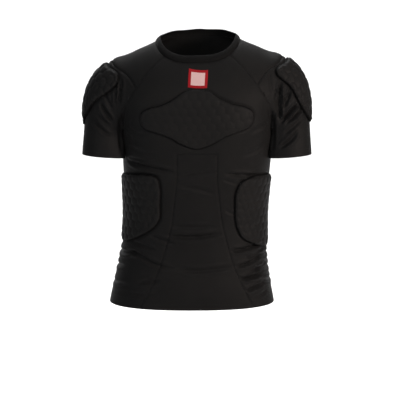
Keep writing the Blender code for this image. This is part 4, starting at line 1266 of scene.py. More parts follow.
class NodeKit:
    """Short calls for the nodes of one tree."""

    def __init__(self, tree: bpy.types.NodeTree) -> None:
        """Work on a tree."""
        self.tree = tree

    def add(self, kind: str, **settings: object) -> bpy.types.Node:
        """Add a node.

        Args:
            kind: its type name.
            settings: values of its properties.

        Returns:
            The node.
        """
        node = self.tree.nodes.new(kind)
        for key, value in settings.items():
            setattr(node, key, value)
        return node

    def join(self, source: bpy.types.NodeSocket, target: bpy.types.NodeSocket) -> None:
        """Link two sockets."""
        self.tree.links.new(source, target)

    def maths(self, operation: str, *values: object) -> bpy.types.NodeSocket:
        """A maths node.

        Args:
            operation: its operation.
            values: sockets or numbers for its inputs.

        Returns:
            Its output.
        """
        node = self.add("ShaderNodeMath", operation=operation)
        for k, value in enumerate(values):
            if isinstance(value, bpy.types.NodeSocket):
                self.join(value, node.inputs[k])
            else:
                node.inputs[k].default_value = value
        return node.outputs[0]


class Effects:
    """Shader node groups that more than one finish uses."""

    def __init__(self) -> None:
        """Build each group once."""
        self.knit = self.build_knit()
        self.uneven = self.build_uneven()

    @staticmethod
    def group(name: str, inputs: dict[str, float], outputs: Sequence[str]) -> tuple:
        """An empty group with named sockets.

        Args:
            name: the group's name.
            inputs: number inputs and their defaults.
            outputs: number outputs.

        Returns:
            The group, its kit, its input node and its output node.
        """
        tree = bpy.data.node_groups.new(name, "ShaderNodeTree")
        for socket, value in inputs.items():
            made = tree.interface.new_socket(socket, in_out="INPUT", socket_type="NodeSocketFloat")
            made.default_value = value
        for socket in outputs:
            tree.interface.new_socket(socket, in_out="OUTPUT", socket_type="NodeSocketFloat")
        kit = NodeKit(tree)
        return tree, kit, kit.add("NodeGroupInput"), kit.add("NodeGroupOutput")

    def build_knit(self) -> bpy.types.NodeTree:
        """Columns of loops, as fine jersey or as a ribbed band.

        Returns:
            The group: Height from the loops, Groove between the columns.
        """
        sizes = {"Column Width": 0.0009, "Loop Length": 0.0007, "Slant": 0.5}
        tree, kit, given, result = self.group("knit loops", sizes, ("Height", "Groove"))
        cloth = kit.add("ShaderNodeUVMap", uv_map="cloth")
        split = kit.add("ShaderNodeSeparateXYZ")
        kit.join(cloth.outputs[0], split.inputs[0])
        across = kit.maths("DIVIDE", split.outputs["X"], given.outputs["Column Width"])
        up = kit.maths("DIVIDE", split.outputs["Y"], given.outputs["Loop Length"])
        saw = kit.maths("PINGPONG", across, 0.5)
        slanted = kit.maths("ADD", up, kit.maths("MULTIPLY", saw, given.outputs["Slant"]))
        loops = kit.maths("SINE", kit.maths("MULTIPLY", slanted, 2 * math.pi))
        column = kit.maths("SINE", kit.maths("MULTIPLY", saw, 2 * math.pi))
        roundness, ring_depth = 0.6, 0.25
        body = kit.maths("POWER", kit.maths("ABSOLUTE", column), roundness)
        ring = kit.maths("MULTIPLY_ADD", loops, ring_depth, 1 - ring_depth)
        kit.join(kit.maths("MULTIPLY", body, ring), result.inputs["Height"])
        kit.join(kit.maths("SUBTRACT", 1.0, body), result.inputs["Groove"])
        return tree

    def build_uneven(self) -> bpy.types.NodeTree:
        """The slow change of tone over worn cloth.

        Returns:
            The group: Shade from 0 to 1, and Fuzz, a finer speckle.
        """
        sizes = {"Patch Size": 0.06, "Speckle Size": 0.002}
        tree, kit, given, result = self.group("uneven tone", sizes, ("Shade", "Fuzz"))
        place = kit.add("ShaderNodeTexCoord")
        for size, socket, detail in (("Patch Size", "Shade", 3.0), ("Speckle Size", "Fuzz", 2.0)):
            noise = kit.add("ShaderNodeTexNoise", noise_dimensions="3D")
            noise.inputs["Detail"].default_value = detail
            kit.join(place.outputs["Object"], noise.inputs["Vector"])
            kit.join(kit.maths("DIVIDE", 1.0, given.outputs[size]), noise.inputs["Scale"])
            kit.join(noise.outputs["Fac"], result.inputs[socket])
        return tree


@dataclass(frozen=True)
class ClothFinish:
    """A knitted or woven finish."""

    name: str
    dark: tuple[float, float, float]
    light: tuple[float, float, float]
    roughness: tuple[float, float]
    sheen: float
    sheen_tint: tuple[float, float, float] = (0.9, 0.85, 0.8)
    column: float = 0.0009
    loop: float = 0.0007
    slant: float = 0.5
    bump: float = 0.0001
    specular: float = 0.075
    groove_shade: float = -0.5
    fuzz: float = 0.3
    bump_strength: float = 0.6
    sheen_roughness: float = 0.45

    def material(self, effects: Effects) -> bpy.types.Material:
        """Build the material.

        Args:
            effects: the shared node groups.

        Returns:
            The material.
        """
        made = bpy.data.materials.new(self.name)
        made.use_nodes = True
        kit = NodeKit(made.node_tree)
        shader = made.node_tree.nodes["Principled BSDF"]
        knit = kit.add("ShaderNodeGroup", node_tree=effects.knit)
        knit.inputs["Column Width"].default_value = self.column
        knit.inputs["Loop Length"].default_value = self.loop
        knit.inputs["Slant"].default_value = self.slant
        uneven = kit.add("ShaderNodeGroup", node_tree=effects.uneven)
        mix = kit.maths("MULTIPLY_ADD", knit.outputs["Groove"], self.groove_shade, uneven.outputs["Shade"])
        mix = kit.maths("MULTIPLY_ADD", uneven.outputs["Fuzz"], self.fuzz, mix)
        tone = kit.add("ShaderNodeMix", data_type="RGBA")
        tone.inputs["A"].default_value = (*self.dark, 1)
        tone.inputs["B"].default_value = (*self.light, 1)
        kit.join(mix, tone.inputs["Factor"])
        kit.join(tone.outputs["Result"], shader.inputs["Base Color"])
        low, high = self.roughness
        rough = kit.maths("MULTIPLY_ADD", uneven.outputs["Shade"], high - low, low)
        kit.join(rough, shader.inputs["Roughness"])
        bump = kit.add("ShaderNodeBump")
        bump.inputs["Strength"].default_value = self.bump_strength
        bump.inputs["Distance"].default_value = self.bump
        kit.join(knit.outputs["Height"], bump.inputs["Height"])
        kit.join(bump.outputs["Normal"], shader.inputs["Normal"])
        shader.inputs["Specular IOR Level"].default_value = self.specular
        shader.inputs["Sheen Weight"].default_value = self.sheen
        shader.inputs["Sheen Roughness"].default_value = self.sheen_roughness
        shader.inputs["Sheen Tint"].default_value = (*self.sheen_tint, 1)
        return made


class Finishes:
    """Every finish of the shirt, built once."""

    def __init__(self) -> None:
        """Build the finishes."""
        effects = Effects()
        woven = {"column": 0.0006, "loop": 0.0006, "slant": 0.0, "bump": 0.00006}
        self.knit = ClothFinish(
            "black stretch knit", (0.0098, 0.0098, 0.0102), (0.0155, 0.0150, 0.0145), (0.46, 0.6), 0.008
        ).material(effects)
        self.quilt = ClothFinish(
            "black quilted knit", (0.0108, 0.0108, 0.0112), (0.0170, 0.0164, 0.0158), (0.44, 0.58), 0.009
        ).material(effects)
        # Much darker finish laid on each pad's edge band, sides and underside: painted shade of the groove
        # round the pad.
        self.border = ClothFinish(
            "black painted edge shade", (0.0035, 0.0035, 0.0037), (0.0058, 0.0056, 0.0055), (0.6, 0.7), 0.0,
            specular=0.05
        ).material(effects)
        self.rib = ClothFinish(
            "black ribbed band", (0.0050, 0.0050, 0.0052), (0.0085, 0.0082, 0.0080), (0.52, 0.66), 0.014,
            column=0.0022, loop=0.0008, slant=0.2, bump=0.00035
        ).material(effects)
        self.thread = ClothFinish(
            "black sewing thread", (0.010, 0.010, 0.0105), (0.018, 0.0175, 0.017), (0.4, 0.5), 0.02
        ).material(effects)
        self.red = ClothFinish(
            "red woven label", (0.30, 0.008, 0.014), (0.44, 0.018, 0.024), (0.5, 0.62), 0.04, **woven
        ).material(effects)
        self.pale = ClothFinish(
            "pale woven square", (0.74, 0.43, 0.42), (0.90, 0.64, 0.62), (0.5, 0.62), 0.04, **woven
        ).material(effects)


class Edge(NamedTuple):
    """One edge of a cut piece: its line, how it ends, its place on the chart and its groove's depth."""

    line: Points
    kind: EdgeKind = EdgeKind.SEAM
    shift: Optional[Callable[[Points], Points]] = None
    weight: float = 1.0


@dataclass
class Panel:
    """A cut piece of cloth: a thin shell with creases, grooves and hems."""

    name: str
    chart: Chart
    edges: list[Edge]
    finish: bpy.types.Material
    side: float = 1.0
    sleeve: bool = False
    spacing: float = 3.0
    cloth: float = 1.2
    pads: list[Points] = field(default_factory=list)
    neighbours: Sequence[str] = ()
    groove: float = 2.4
    groove_width: float = 2.8
    rim_share: float = 0.55

    def build(self) -> bpy.types.Object:
        """Make the piece.

        Returns:
            The object, which replaces its CAD node.
        """
        outline = np.vstack([edge.line[:-1] for edge in self.edges])
        flats, seams, cuts, weights = [], [], [], []
        for edge in self.edges:
            flat = self.chart.lay(edge.line[:-1])
            if edge.shift is not None:
                flat[:, 0] = edge.shift(flat[:, 0])
            flats.append(flat)
            seams.append(np.full(len(flat), edge.kind is EdgeKind.SEAM))
            cuts.append(np.full(len(flat), edge.kind is EdgeKind.CUT))
            weights.append(np.full(len(flat), edge.weight))
        loop, sewn, cut = np.vstack(flats), np.concatenate(seams), np.concatenate(cuts)
        sewn = sewn | np.roll(sewn, 1)
        flat, triangles = net(loop, self.spacing, self.rim_share)
        base = self.chart.raise_up(flat)
        base[: len(loop)] = outline
        normals = FIGURE.normals(base)
        height = DRAPE.lie(base * (self.side, 1, 1), self.sleeve)
        away, which = distances(flat, loop[sewn])
        run = run_lengths(outline)
        height += DRAPE.seams(away, run[sewn][which], np.concatenate(weights)[sewn][which])
        for pad in self.pads:
            to_pad, _ = distances(flat, pad)
            height -= self.groove * np.exp(-((to_pad / self.groove_width) ** 2))
        outer = base + normals * height[:, None]
        inner = outer - normals * self.cloth
        if cut.any():
            triangles = self.close(outline, triangles)
        points, faces = shell(outer, inner, triangles)
        obj = dress(self.name, points, faces, [self.finish], np.vstack([flat, flat]), self.side)
        self.declare(obj, loop, base, triangles)
        return obj

    def declare(self, obj: bpy.types.Object, loop: Points, base: Points, triangles: Points) -> None:
        """Log the size that the piece was cut to, and its area.

        Args:
            obj: the piece.
            loop: its outline on the chart.
            base: its points on the figure.
            triangles: rows of indices.
        """
        a, b, c = (base[triangles[:, k]] for k in range(3))
        area = np.linalg.norm(np.cross(b - a, c - a), axis=1).sum() / 2 * MILLIMETRE**2
        width, length = (loop.max(axis=0) - loop.min(axis=0)) * MILLIMETRE
        grow = max(math.sqrt(area / (width * length)), 1.0)
        width, length = width * grow, length * grow
        LOG.info("%s: cut %.0f x %.0f mm, %.4f square metres", obj.name, width * 1e3, length * 1e3, area)

    @staticmethod
    def close(outline: Points, triangles: Points) -> Points:
        """Join the two sides of the chart's cut.

        Args:
            outline: points of the outline.
            triangles: rows of indices, the outline's first.

        Returns:
            The triangles with each pair of points on the cut made one.
        """
        merged = np.arange(triangles.max() + 1)
        for k in range(len(outline)):
            twins = np.where(np.linalg.norm(outline - outline[k], axis=1) < SAME_PLACE)[0]
            merged[twins] = twins.min()
        return merged[triangles]


@dataclass
class Pad:
    """A quilted foam pad: a crowned form with cells, a sewn border and a rounded edge."""

    name: str
    chart: Chart
    loop: Points
    finishes: Sequence[bpy.types.Material]
    side: float = 1.0
    sleeve: bool = False
    spacing: float = 2.3
    pitch: float = 20.0
    edge: float = 4.0
    top: float = 5.5
    groove: float = 2.1
    groove_width: float = 1.9
    stitch_row: float = 3.6
    stitch_depth: float = 0.9
    round_over: float = 4.0
    stitch_width: float = 1.1
    border_slope: float = 1.8
    dome_power: float = 1.6
    crown: float = 0.5
    crown_radius: float = 10.0
    least: float = 0.5
    rim_spacing: float = 0.9
    rim_share: float = 0.6
    rim_step: float = 0.5
    # Width of the band inside the pad's edge that takes the darker finish, painted shade of the groove
    # there.
    pressed: float = 2.0
    lift: float = 0.3

    def cells(self, flat: Points, rim: Points) -> Points:
        """Height of the quilting.

        Args:
            flat: chart places.
            rim: their distance from the pad's edge.

        Returns:
            The height of the foam at each place.
        """
        middle = (self.loop.min(axis=0) + self.loop.max(axis=0)) / 2
        x, y = (flat - middle).T
        rise = self.pitch * math.sqrt(3) / 2
        best = np.full(len(flat), np.inf)
        border = np.zeros(len(flat))
        row = np.round(y / rise)
        for shift in (-1, 0, 1):
            r = row + shift
            offset = (r % 2) * self.pitch / 2
            column = np.round((x - offset) / self.pitch)
            dx, dy = np.abs(x - offset - column * self.pitch), np.abs(y - r * rise)
            away = np.hypot(dx, dy)
            reach = np.maximum(dx, dx / 2 + dy * math.sqrt(3) / 2)
            closer = away < best
            best = np.where(closer, away, best)
            border = np.where(closer, self.pitch / 2 - reach, border)
        border = np.maximum(border, 0)
        dome = 1 - np.exp(-((border / self.groove_width) ** self.dome_power))
        crown = self.crown * (1 - (np.minimum(best, self.crown_radius) / self.crown_radius) ** 2)
        cell = self.top - self.groove * (1 - dome) + crown
        share = ease(rim, self.stitch_row, self.stitch_row + self.border_slope)
        off_row = (rim - self.stitch_row) / self.stitch_width
        stitched = self.edge - self.stitch_depth * np.exp(-(off_row**2))
        return stitched * (1 - share) + cell * share

    def heights(self, flat: Points, base: Points, rim: Points) -> tuple[Points, Points]:
        """How far the pad's two faces stand off the figure.

        Args:
            flat: chart places.
            base: the same places on the figure.
            rim: their distance from the pad's edge.

        Returns:
            Heights of the lower and the upper face.
        """
        worn = base * (self.side, 1, 1)
        creases = DRAPE.creases(worn)
        lower = np.maximum(creases * 0.5, creases + DRAPE.waves(worn)) + self.lift
        round_off = np.clip(rim / self.round_over, 0, 1)
        shape = np.sqrt(1 - (1 - round_off) ** 2)
        return lower, lower + self.least + (self.cells(flat, rim) - self.least) * shape

    def stitches(self, pitch: float, dash: float) -> tuple[Points, Points]:
        """The row of stitches inside the border.

        Args:
            pitch: distance from stitch to stitch.
            dash: length of a stitch that shows.

        Returns:
            Three points for each stitch on the upper face, and the outward directions there.
        """
        fine, coarse = 1.0, 6
        away = resample(closed(self.loop), fine)[:-1]
        along = unit(np.roll(away, -1, axis=0) - np.roll(away, 1, axis=0))
        across = np.column_stack([-along[:, 1], along[:, 0]])
        if not inside(away[:1] + across[:1], self.loop)[0]:
            across = -across
        ring = smooth_loop((away + across * self.stitch_row)[::coarse], fine)
        row = resample(closed(ring), pitch)[:-1]
        ahead = unit(np.roll(row, -1, axis=0) - row)
        flat = dashes(row, ahead, dash)
        base = self.chart.raise_up(flat)
        normals = FIGURE.normals(base)
        _, upper = self.heights(flat, base, np.full(len(flat), self.stitch_row))
        points = (base + normals * upper[:, None]) * (self.side, 1, 1)
        return points.reshape(-1, 3, 3), (normals * (self.side, 1, 1)).reshape(-1, 3, 3)

    def build(self) -> bpy.types.Object:
        """Make the pad.

        Returns:
            The object, which replaces its CAD node.
        """
        line = resample(closed(self.loop), self.spacing * self.rim_spacing)[:-1]
        flat, triangles = net(line, self.spacing, self.rim_share)
        rim, _ = distances(flat, resample(closed(line), self.rim_step))
        rim[: len(line)] = 0
        base = self.chart.raise_up(flat)
        normals = FIGURE.normals(base)
        low, high = self.heights(flat, base, rim)
        points, faces = shell(base + normals * high[:, None], base + normals * low[:, None], triangles)
        # Faces near the edge, and the sides and underside, take the second, darker finish: painted shade of
        # the groove round the pad.
        slots = np.ones(len(faces))
        slots[: len(triangles)] = rim[triangles].mean(axis=1) < self.pressed
        both = np.vstack([flat, flat])
        obj = dress(self.name, points, faces, self.finishes, both, self.side, slots, sharp=80)
        return obj


CHEST_PAD = table(
    Place, (-1, -100), (27, -105), (52, -121), (76, -132), (101, -138), (120, -149), (123, -168),
    (112, -185), (86, -194), (59, -204), (33, -219), (0, -229)
)
LABEL_CORNERS = ((-17.0, -56.0), (24.0, -60.5), (22.0, -98.0), (-19.0, -95.5))


class ArcPoint(NamedTuple):
    """A place on the body: length round the chest from the front middle, and height."""

    arc: float
    z: float


RIB_PAD_RIGHT = table(
    ArcPoint, (101, -355), (99, -328), (110, -303), (140, -291), (175, -290), (210, -291), (242, -302),
    (257, -330), (259, -365), (257, -402), (248, -437), (220, -458), (188, -454), (155, -443), (125, -427),
    (107, -395)
)
RIB_PAD_LEFT = table(
    ArcPoint, (90, -355), (87, -323), (93, -293), (122, -286), (156, -287), (190, -289), (225, -292),
    (250, -310), (259, -343), (258, -382), (250, -418), (222, -445), (185, -441), (148, -427), (114, -409),
    (93, -386)
)
SHOULDER_PAD_RIGHT = table(
    Place, (193, -51), (183, -56), (172, -66), (175, -78), (188, -90), (202, -102), (213, -118),
    (223, -137), (234, -156), (245, -171)
)
SHOULDER_PAD_LEFT = table(
    Place, (193, -51), (182, -57), (171, -68), (172, -83), (182, -97), (197, -108), (213, -118),
    (227, -131), (238, -149), (248, -165)
)


@dataclass
class PadOutlines:
    """The outlines of what lies on the panels, in their charts."""

    front: BodyChart
    sleeve: SleeveChart
    step: float = 3.0
    shoulder_top: tuple[float, float] = (198.0, 9.0)
    shoulder_foot: float = -181.0

    def chest(self) -> Points:
        """The chest pad, the same on both sides.

        Returns:
            Its outline.
        """
        right = np.array(CHEST_PAD)
        loop = np.vstack([right, (right[1:-1] * (-1, 1))[::-1]])
        line = smooth_loop(loop[::-1], self.step)
        return self.front.lay(FIGURE.seen_at(line[:, 0], line[:, 1], Facing.FRONT))

    def rib(self, side: int) -> Points:
        """A rib pad."""
        rows = RIB_PAD_RIGHT if side > 0 else RIB_PAD_LEFT
        return smooth_loop((np.array(rows) * (side, 1))[::-side], self.step)

    def shoulder(self, side: int) -> Points:
        """A shoulder pad, the same in front and behind.

        Args:
            side: 1 or -1.

        Returns:
            Its outline on the chart of the +X sleeve.
        """
        rows = SHOULDER_PAD_RIGHT if side > 0 else SHOULDER_PAD_LEFT
        front = self.sleeve.lay(FIGURE.seen_at(*np.transpose(rows), Facing.FRONT))
        top = self.sleeve.lay(FIGURE.seen_from_above(*self.shoulder_top))
        outer = np.array([[300.0, 0.0, self.shoulder_foot]])
        foot = self.sleeve.lay(FIGURE.march(outer, np.array([[-1.0, 0.0, 0.0]]), leaving=False))
        top[0, 0] = foot[0, 0] = 0
        return smooth_loop(np.vstack([top, front, foot, front[::-1] * (-1, 1)]), self.step)


@dataclass
class Shirt:
    """The whole shirt: its panels, pads, collar, label and sewing."""

    finishes: Finishes
    front: BodyChart = field(default_factory=lambda: BodyChart(Facing.FRONT))
    back: BodyChart = field(default_factory=lambda: BodyChart(Facing.BACK))
    sleeve: SleeveChart = field(default_factory=SleeveChart)
    cut_bow: float = 4.0

    def __post_init__(self) -> None:
        """Lay out the pads."""
        self.outlines = PadOutlines(self.front, self.sleeve)
        self.chest_loop = self.outlines.chest()
        self.rib_loops = {1: self.outlines.rib(1), -1: self.outlines.rib(-1)}
        self.shoulder_loops = {1: self.outlines.shoulder(1), -1: self.outlines.shoulder(-1)}

    def front_body(self) -> Panel:
        """Chest and both flanks in one piece.

        Returns:
            The panel.
        """
        left_side = mirrored(PATTERN.side)[::-1]
        edges = [
            Edge(PATTERN.hem(self.front, left_side[-1], PATTERN.centre_left[-1]), EdgeKind.HEM),
            Edge(PATTERN.centre_left[::-1], weight=1.6), Edge(PATTERN.centre_top, weight=1.6),
            Edge(PATTERN.centre_right, weight=1.6),
            Edge(PATTERN.hem(self.front, PATTERN.centre_right[-1], PATTERN.side[-1]), EdgeKind.HEM),
            Edge(PATTERN.side[::-1]), Edge(PATTERN.raglan_front[::-1]), Edge(PATTERN.neck_front[::-1]),
            Edge(mirrored(PATTERN.raglan_front[::-1])), Edge(left_side)
        ]
        pads = [self.chest_loop, *self.rib_loops.values()]
        near = ("front_centre_cloth", "back_body_cloth", "collar_band")
        return Panel("front_body_cloth", self.front, edges, self.finishes.knit, pads=pads, neighbours=near)

    def front_centre(self) -> Panel:
        """The belly panel.

        Returns:
            The panel.
        """
        edges = [
            Edge(PATTERN.hem(self.front, PATTERN.centre_left[-1], PATTERN.centre_right[-1]), EdgeKind.HEM),
            Edge(PATTERN.centre_right[::-1], weight=1.6), Edge(PATTERN.centre_top[::-1], weight=1.6),
            Edge(PATTERN.centre_left, weight=1.6)
        ]
        near = ("front_body_cloth",)
        return Panel("front_centre_cloth", self.front, edges, self.finishes.knit, neighbours=near)

    def back_body(self) -> Panel:
        """The back.

        Returns:
            The panel.
        """
        left_side = mirrored(PATTERN.side)[::-1]
        edges = [
            Edge(PATTERN.hem(self.back, PATTERN.side[-1], left_side[-1]), EdgeKind.HEM),
            Edge(left_side[::-1]), Edge(mirrored(PATTERN.raglan_back)), Edge(PATTERN.neck_back[::-1]),
            Edge(PATTERN.raglan_back), Edge(PATTERN.side)
        ]
        near = ("front_body_cloth", "collar_band")
        return Panel("back_body_cloth", self.back, edges, self.finishes.knit, neighbours=near)

    def yoke(self, side: int, word: str) -> Panel:
        """The saddle over one shoulder.

        Args:
            side: 1 or -1.
            word: its name.

        Returns:
            The panel.
        """
        edges = [
            Edge(PATTERN.yoke, weight=2.2), Edge(PATTERN.raglan_back[: PATTERN.join_back + 1][::-1]),
            Edge(PATTERN.neck_saddle[::-1]), Edge(PATTERN.raglan_front[: PATTERN.join_front + 1])
        ]
        near = ("front_body_cloth", "back_body_cloth", f"sleeve_{word}_cloth")
        return Panel(
            f"yoke_{word}_cloth", self.sleeve, edges, self.finishes.knit, side, True, neighbours=near
        )

    def sleeve_panel(self, side: int, word: str) -> Panel:
        """One sleeve.

        Args:
            side: 1 or -1.
            word: its name.

        Returns:
            The panel.
        """
        whole = 2 * math.pi * self.sleeve.round_radius

        def upper(across: Points) -> Points:
            """Put places behind the cut."""
            return np.where(across < 0, across + whole, across)

        def lower(across: Points) -> Points:
            """Put places before the cut."""
            return np.where(across > 0, across - whole, across)

        armpit, start = PATTERN.raglan_front[-1], PATTERN.cuff[0]
        ends = self.sleeve.lay(np.array([start, armpit]))
        ends[:, 0] = upper(ends[:, 0])
        ends = resample(ends, PATTERN.step)
        # The cut bows a little, so that no three of its places lie on one line.
        ends[:, 0] += self.cut_bow * np.sin(math.pi * np.linspace(0, 1, len(ends)))
        cut = self.sleeve.raise_up(ends)
        cut[0], cut[-1] = start, armpit
        behind = PATTERN.raglan_back[PATTERN.join_back :][::-1]
        turn = np.argmax(self.sleeve.lay(behind)[:, 0] > 0)
        split = max(int(turn), 1)
        edges = [
            Edge(PATTERN.cuff[:2], EdgeKind.HEM, lower), Edge(PATTERN.cuff[1:], EdgeKind.HEM),
            Edge(cut, EdgeKind.CUT, upper), Edge(behind[: split + 1], EdgeKind.SEAM, upper),
            Edge(behind[split:]), Edge(PATTERN.yoke[::-1], weight=2.2),
            Edge(PATTERN.raglan_front[PATTERN.join_front :]), Edge(cut[::-1], EdgeKind.CUT, lower)
        ]
        return Panel(
            f"sleeve_{word}_cloth", self.sleeve, edges, self.finishes.knit, side, True,
            pads=[self.shoulder_loops[side]],
            neighbours=("front_body_cloth", "back_body_cloth", f"yoke_{word}_cloth")
        )

    @staticmethod
    def seat(pieces: dict[str, Panel] | dict[str, Pad], slot: str) -> None:
        """Build pieces in the place of their CAD nodes.

        Args:
            pieces: the pieces by the name of the node that each replaces.
            slot: not used.
        """
        for node, piece in pieces.items():
            obj = piece.build()
            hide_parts(node)
            LOG.info("%s: %d faces", obj.name, len(obj.data.polygons))

    def cloth(self) -> None:
        """Build every panel in the place of its CAD node."""
        panels = {
            "front_body": self.front_body(), "front_centre": self.front_centre(),
            "back_body": self.back_body()
        }
        for side, word in SIDES:
            panels[f"yoke_{word}"] = self.yoke(side, word)
            panels[f"sleeve_{word}"] = self.sleeve_panel(side, word)
        self.seat(panels, "black_knit")

    def pads(self) -> list[Pad]:
        """Build every pad in the place of its CAD node.

        Returns:
            The pads.
        """
        # The second finish is the darker one, painted shade round each pad's edge.
        quilt = (self.finishes.quilt, self.finishes.border)
        pads = {
            "chest_pad": Pad(
                "chest_pad_quilt", self.front, self.chest_loop, quilt, edge=3.7, top=4.3, groove=0.45,
                stitch_depth=0.4
            )
        }
        for side, word in SIDES:
            pads[f"rib_pad_{word}"] = Pad(
                f"rib_pad_{word}_quilt", self.front, self.rib_loops[side], quilt, groove=1.1
            )
            pads[f"shoulder_pad_{word}"] = Pad(
                f"shoulder_pad_{word}_quilt", self.sleeve, self.shoulder_loops[side], quilt, side, True,
                groove=1.4
            )
        self.seat(pads, "black_quilt")
        return list(pads.values())


@dataclass
class Sewing:
    """The threads that show along seams, hems and pads."""

    finish: bpy.types.Material
    chart: BodyChart
    radius: float = 0.3
    half_width: float = 2.2
    zigzag: float = 2.1
    pitch: float = 3.3
    dash: float = 2.3
    beside_neck: float = 3.4
    hem_points: int = 361
    taper: float = 0.55
    raised: float = 0.35

    def threads(self, name: str, points: Points, normals: Points) -> bpy.types.Object:
        """Make short threads in one piece.

        Args:
            name: the piece's name.
            points: three points for each thread, on the cloth.
            normals: the outward directions there.

        Returns:
            The object.
        """
        along = unit(points[:, 2] - points[:, 0])[:, None]
        across = np.cross(normals, np.broadcast_to(along, points.shape))
        girth = self.radius * np.array([self.taper, 1.0, self.taper])[None, :, None]
        middle = points + normals * self.radius * self.raised
        around = (normals * girth, across * girth, -normals * girth, -across * girth)
        ring = np.stack([middle + way for way in around], axis=2)
        faces = [(0, 3, 2, 1), (8, 9, 10, 11)]
        for low in (0, 4):
            for k in range(4):
                after = (k + 1) % 4
                faces.append((low + k, low + after, low + 4 + after, low + 4 + k))
        count = len(points)
        all_faces = (np.array(faces)[None] + 12 * np.arange(count)[:, None, None]).reshape(-1, 4)
        obj = dress(name, ring.reshape(-1, 3), all_faces, [self.finish], sharp=80)
        LOG.info("%s: %d threads", name, count)
        return obj

    @staticmethod
    def settle(points: Points) -> Points:
        """Move places that are a little off the figure onto it.

        Args:
            points: the places.

        Returns:
            The places on the figure.
        """
        for _ in range(3):
            points = points - FIGURE.normals(points) * FIGURE.distance(points)[:, None]
        return points

    def ladder(self, line: Points, sleeve: bool, weight: float = 1.0) -> tuple[Points, Points]:
        """A flat seam's threads, which cross it to and fro.

        Args:
            line: the seam on the figure.
            sleeve: whether it is on a sleeve.
            weight: how deep its groove is.

        Returns:
            Three points for each thread, and the outward directions there.
        """
        line = resample(line, self.zigzag)
        normals = FIGURE.normals(line)
        across = unit(np.cross(normals, np.gradient(line, axis=0)))
        side = np.where(np.arange(len(line)) % 2 == 0, 1.0, -1.0)[:, None] * self.half_width
        edge = line + across * side
        start, end = edge[:-1], edge[1:]
        spots = self.settle(np.stack([start, (start + end) / 2, end], axis=1).reshape(-1, 3))
        out = FIGURE.normals(spots)
        away = np.tile([self.half_width, 0.0, self.half_width], len(start))
        height = DRAPE.lie(spots, sleeve) + DRAPE.seams(away, 0 * away, weight)
        return (spots + out * height[:, None]).reshape(-1, 3, 3), out.reshape(-1, 3, 3)

    def row(self, line: Points, sleeve: bool) -> tuple[Points, Points]:
        """A row of straight stitches.

        Args:
            line: the row on the figure.
            sleeve: whether it is on a sleeve.

        Returns:
            Three points for each thread, and the outward directions there.
        """
        line = resample(line, self.pitch)
        spots = self.settle(dashes(line[:-1], unit(np.diff(line, axis=0)), self.dash))
        out = FIGURE.normals(spots)
        height = DRAPE.lie(spots, sleeve)
        return (spots + out * height[:, None]).reshape(-1, 3, 3), out.reshape(-1, 3, 3)

    def seams(self) -> None:
        """Sew the panels together."""
        for side, word in SIDES:
            flip = np.array([side, 1, 1])
            raglans = [(PATTERN.raglan_front, False, 1.0), (PATTERN.raglan_back, False, 1.0)]
            centre = PATTERN.centre_right if side > 0 else PATTERN.centre_left
            parts = {
                "raglan": raglans, "shoulder": [(PATTERN.yoke, True, 2.2)],
                "side": [(PATTERN.side[3:], False, 1.0)], "belly": [(centre * flip, False, 1.6)]
            }
            for part, lines in parts.items():
                made = [self.ladder(line * flip, sleeve, weight) for line, sleeve, weight in lines]
                self.threads(f"{part}_seam_threads_{word}", *map(np.vstack, zip(*made)))
        self.threads("belly_top_seam_threads", *self.ladder(PATTERN.centre_top, False, 1.6))

    def hems(self) -> None:
        """Sew the turned hems with two rows each."""
        turn = np.linspace(-math.pi, math.pi, self.hem_points)
        levels = [PATTERN.hem_z + DRAPE.body_hem - row for row in DRAPE.hem_rows]
        made = [self.row(self.chart.cast(turn, np.full(len(turn), z)), False) for z in levels]
        self.threads("body_hem_threads", *map(np.vstack, zip(*made)))
        for side, word in SIDES:
            rings = [PATTERN.cuff_ring(DRAPE.sleeve_hem - row) * (side, 1, 1) for row in DRAPE.hem_rows]
            made = [self.row(ring, True) for ring in rings]
            self.threads(f"sleeve_hem_threads_{word}", *map(np.vstack, zip(*made)))

    def neck(self) -> None:
        """Sew one row just outside the collar."""
        ring = np.vstack([PATTERN.neck_ring(), mirrored(PATTERN.neck_saddle)[-1:]])
        out = unit(np.column_stack([ring[:, 0], ring[:, 1] - FIGURE.neck_y, 0 * ring[:, 2]]))
        row = self.settle(ring + out * self.beside_neck)
        self.threads("neck_threads", *self.row(row, False))

    def build(self, pads: Sequence[Pad]) -> None:
        """Make every thread.

        Args:
            pads: the pads, each with a row inside its border.
        """
        self.seams()
        self.hems()
        self.neck()
        for pad in pads:
            name = pad.name.replace("_quilt", "_threads")
            self.threads(name, *pad.stitches(self.pitch, self.dash))


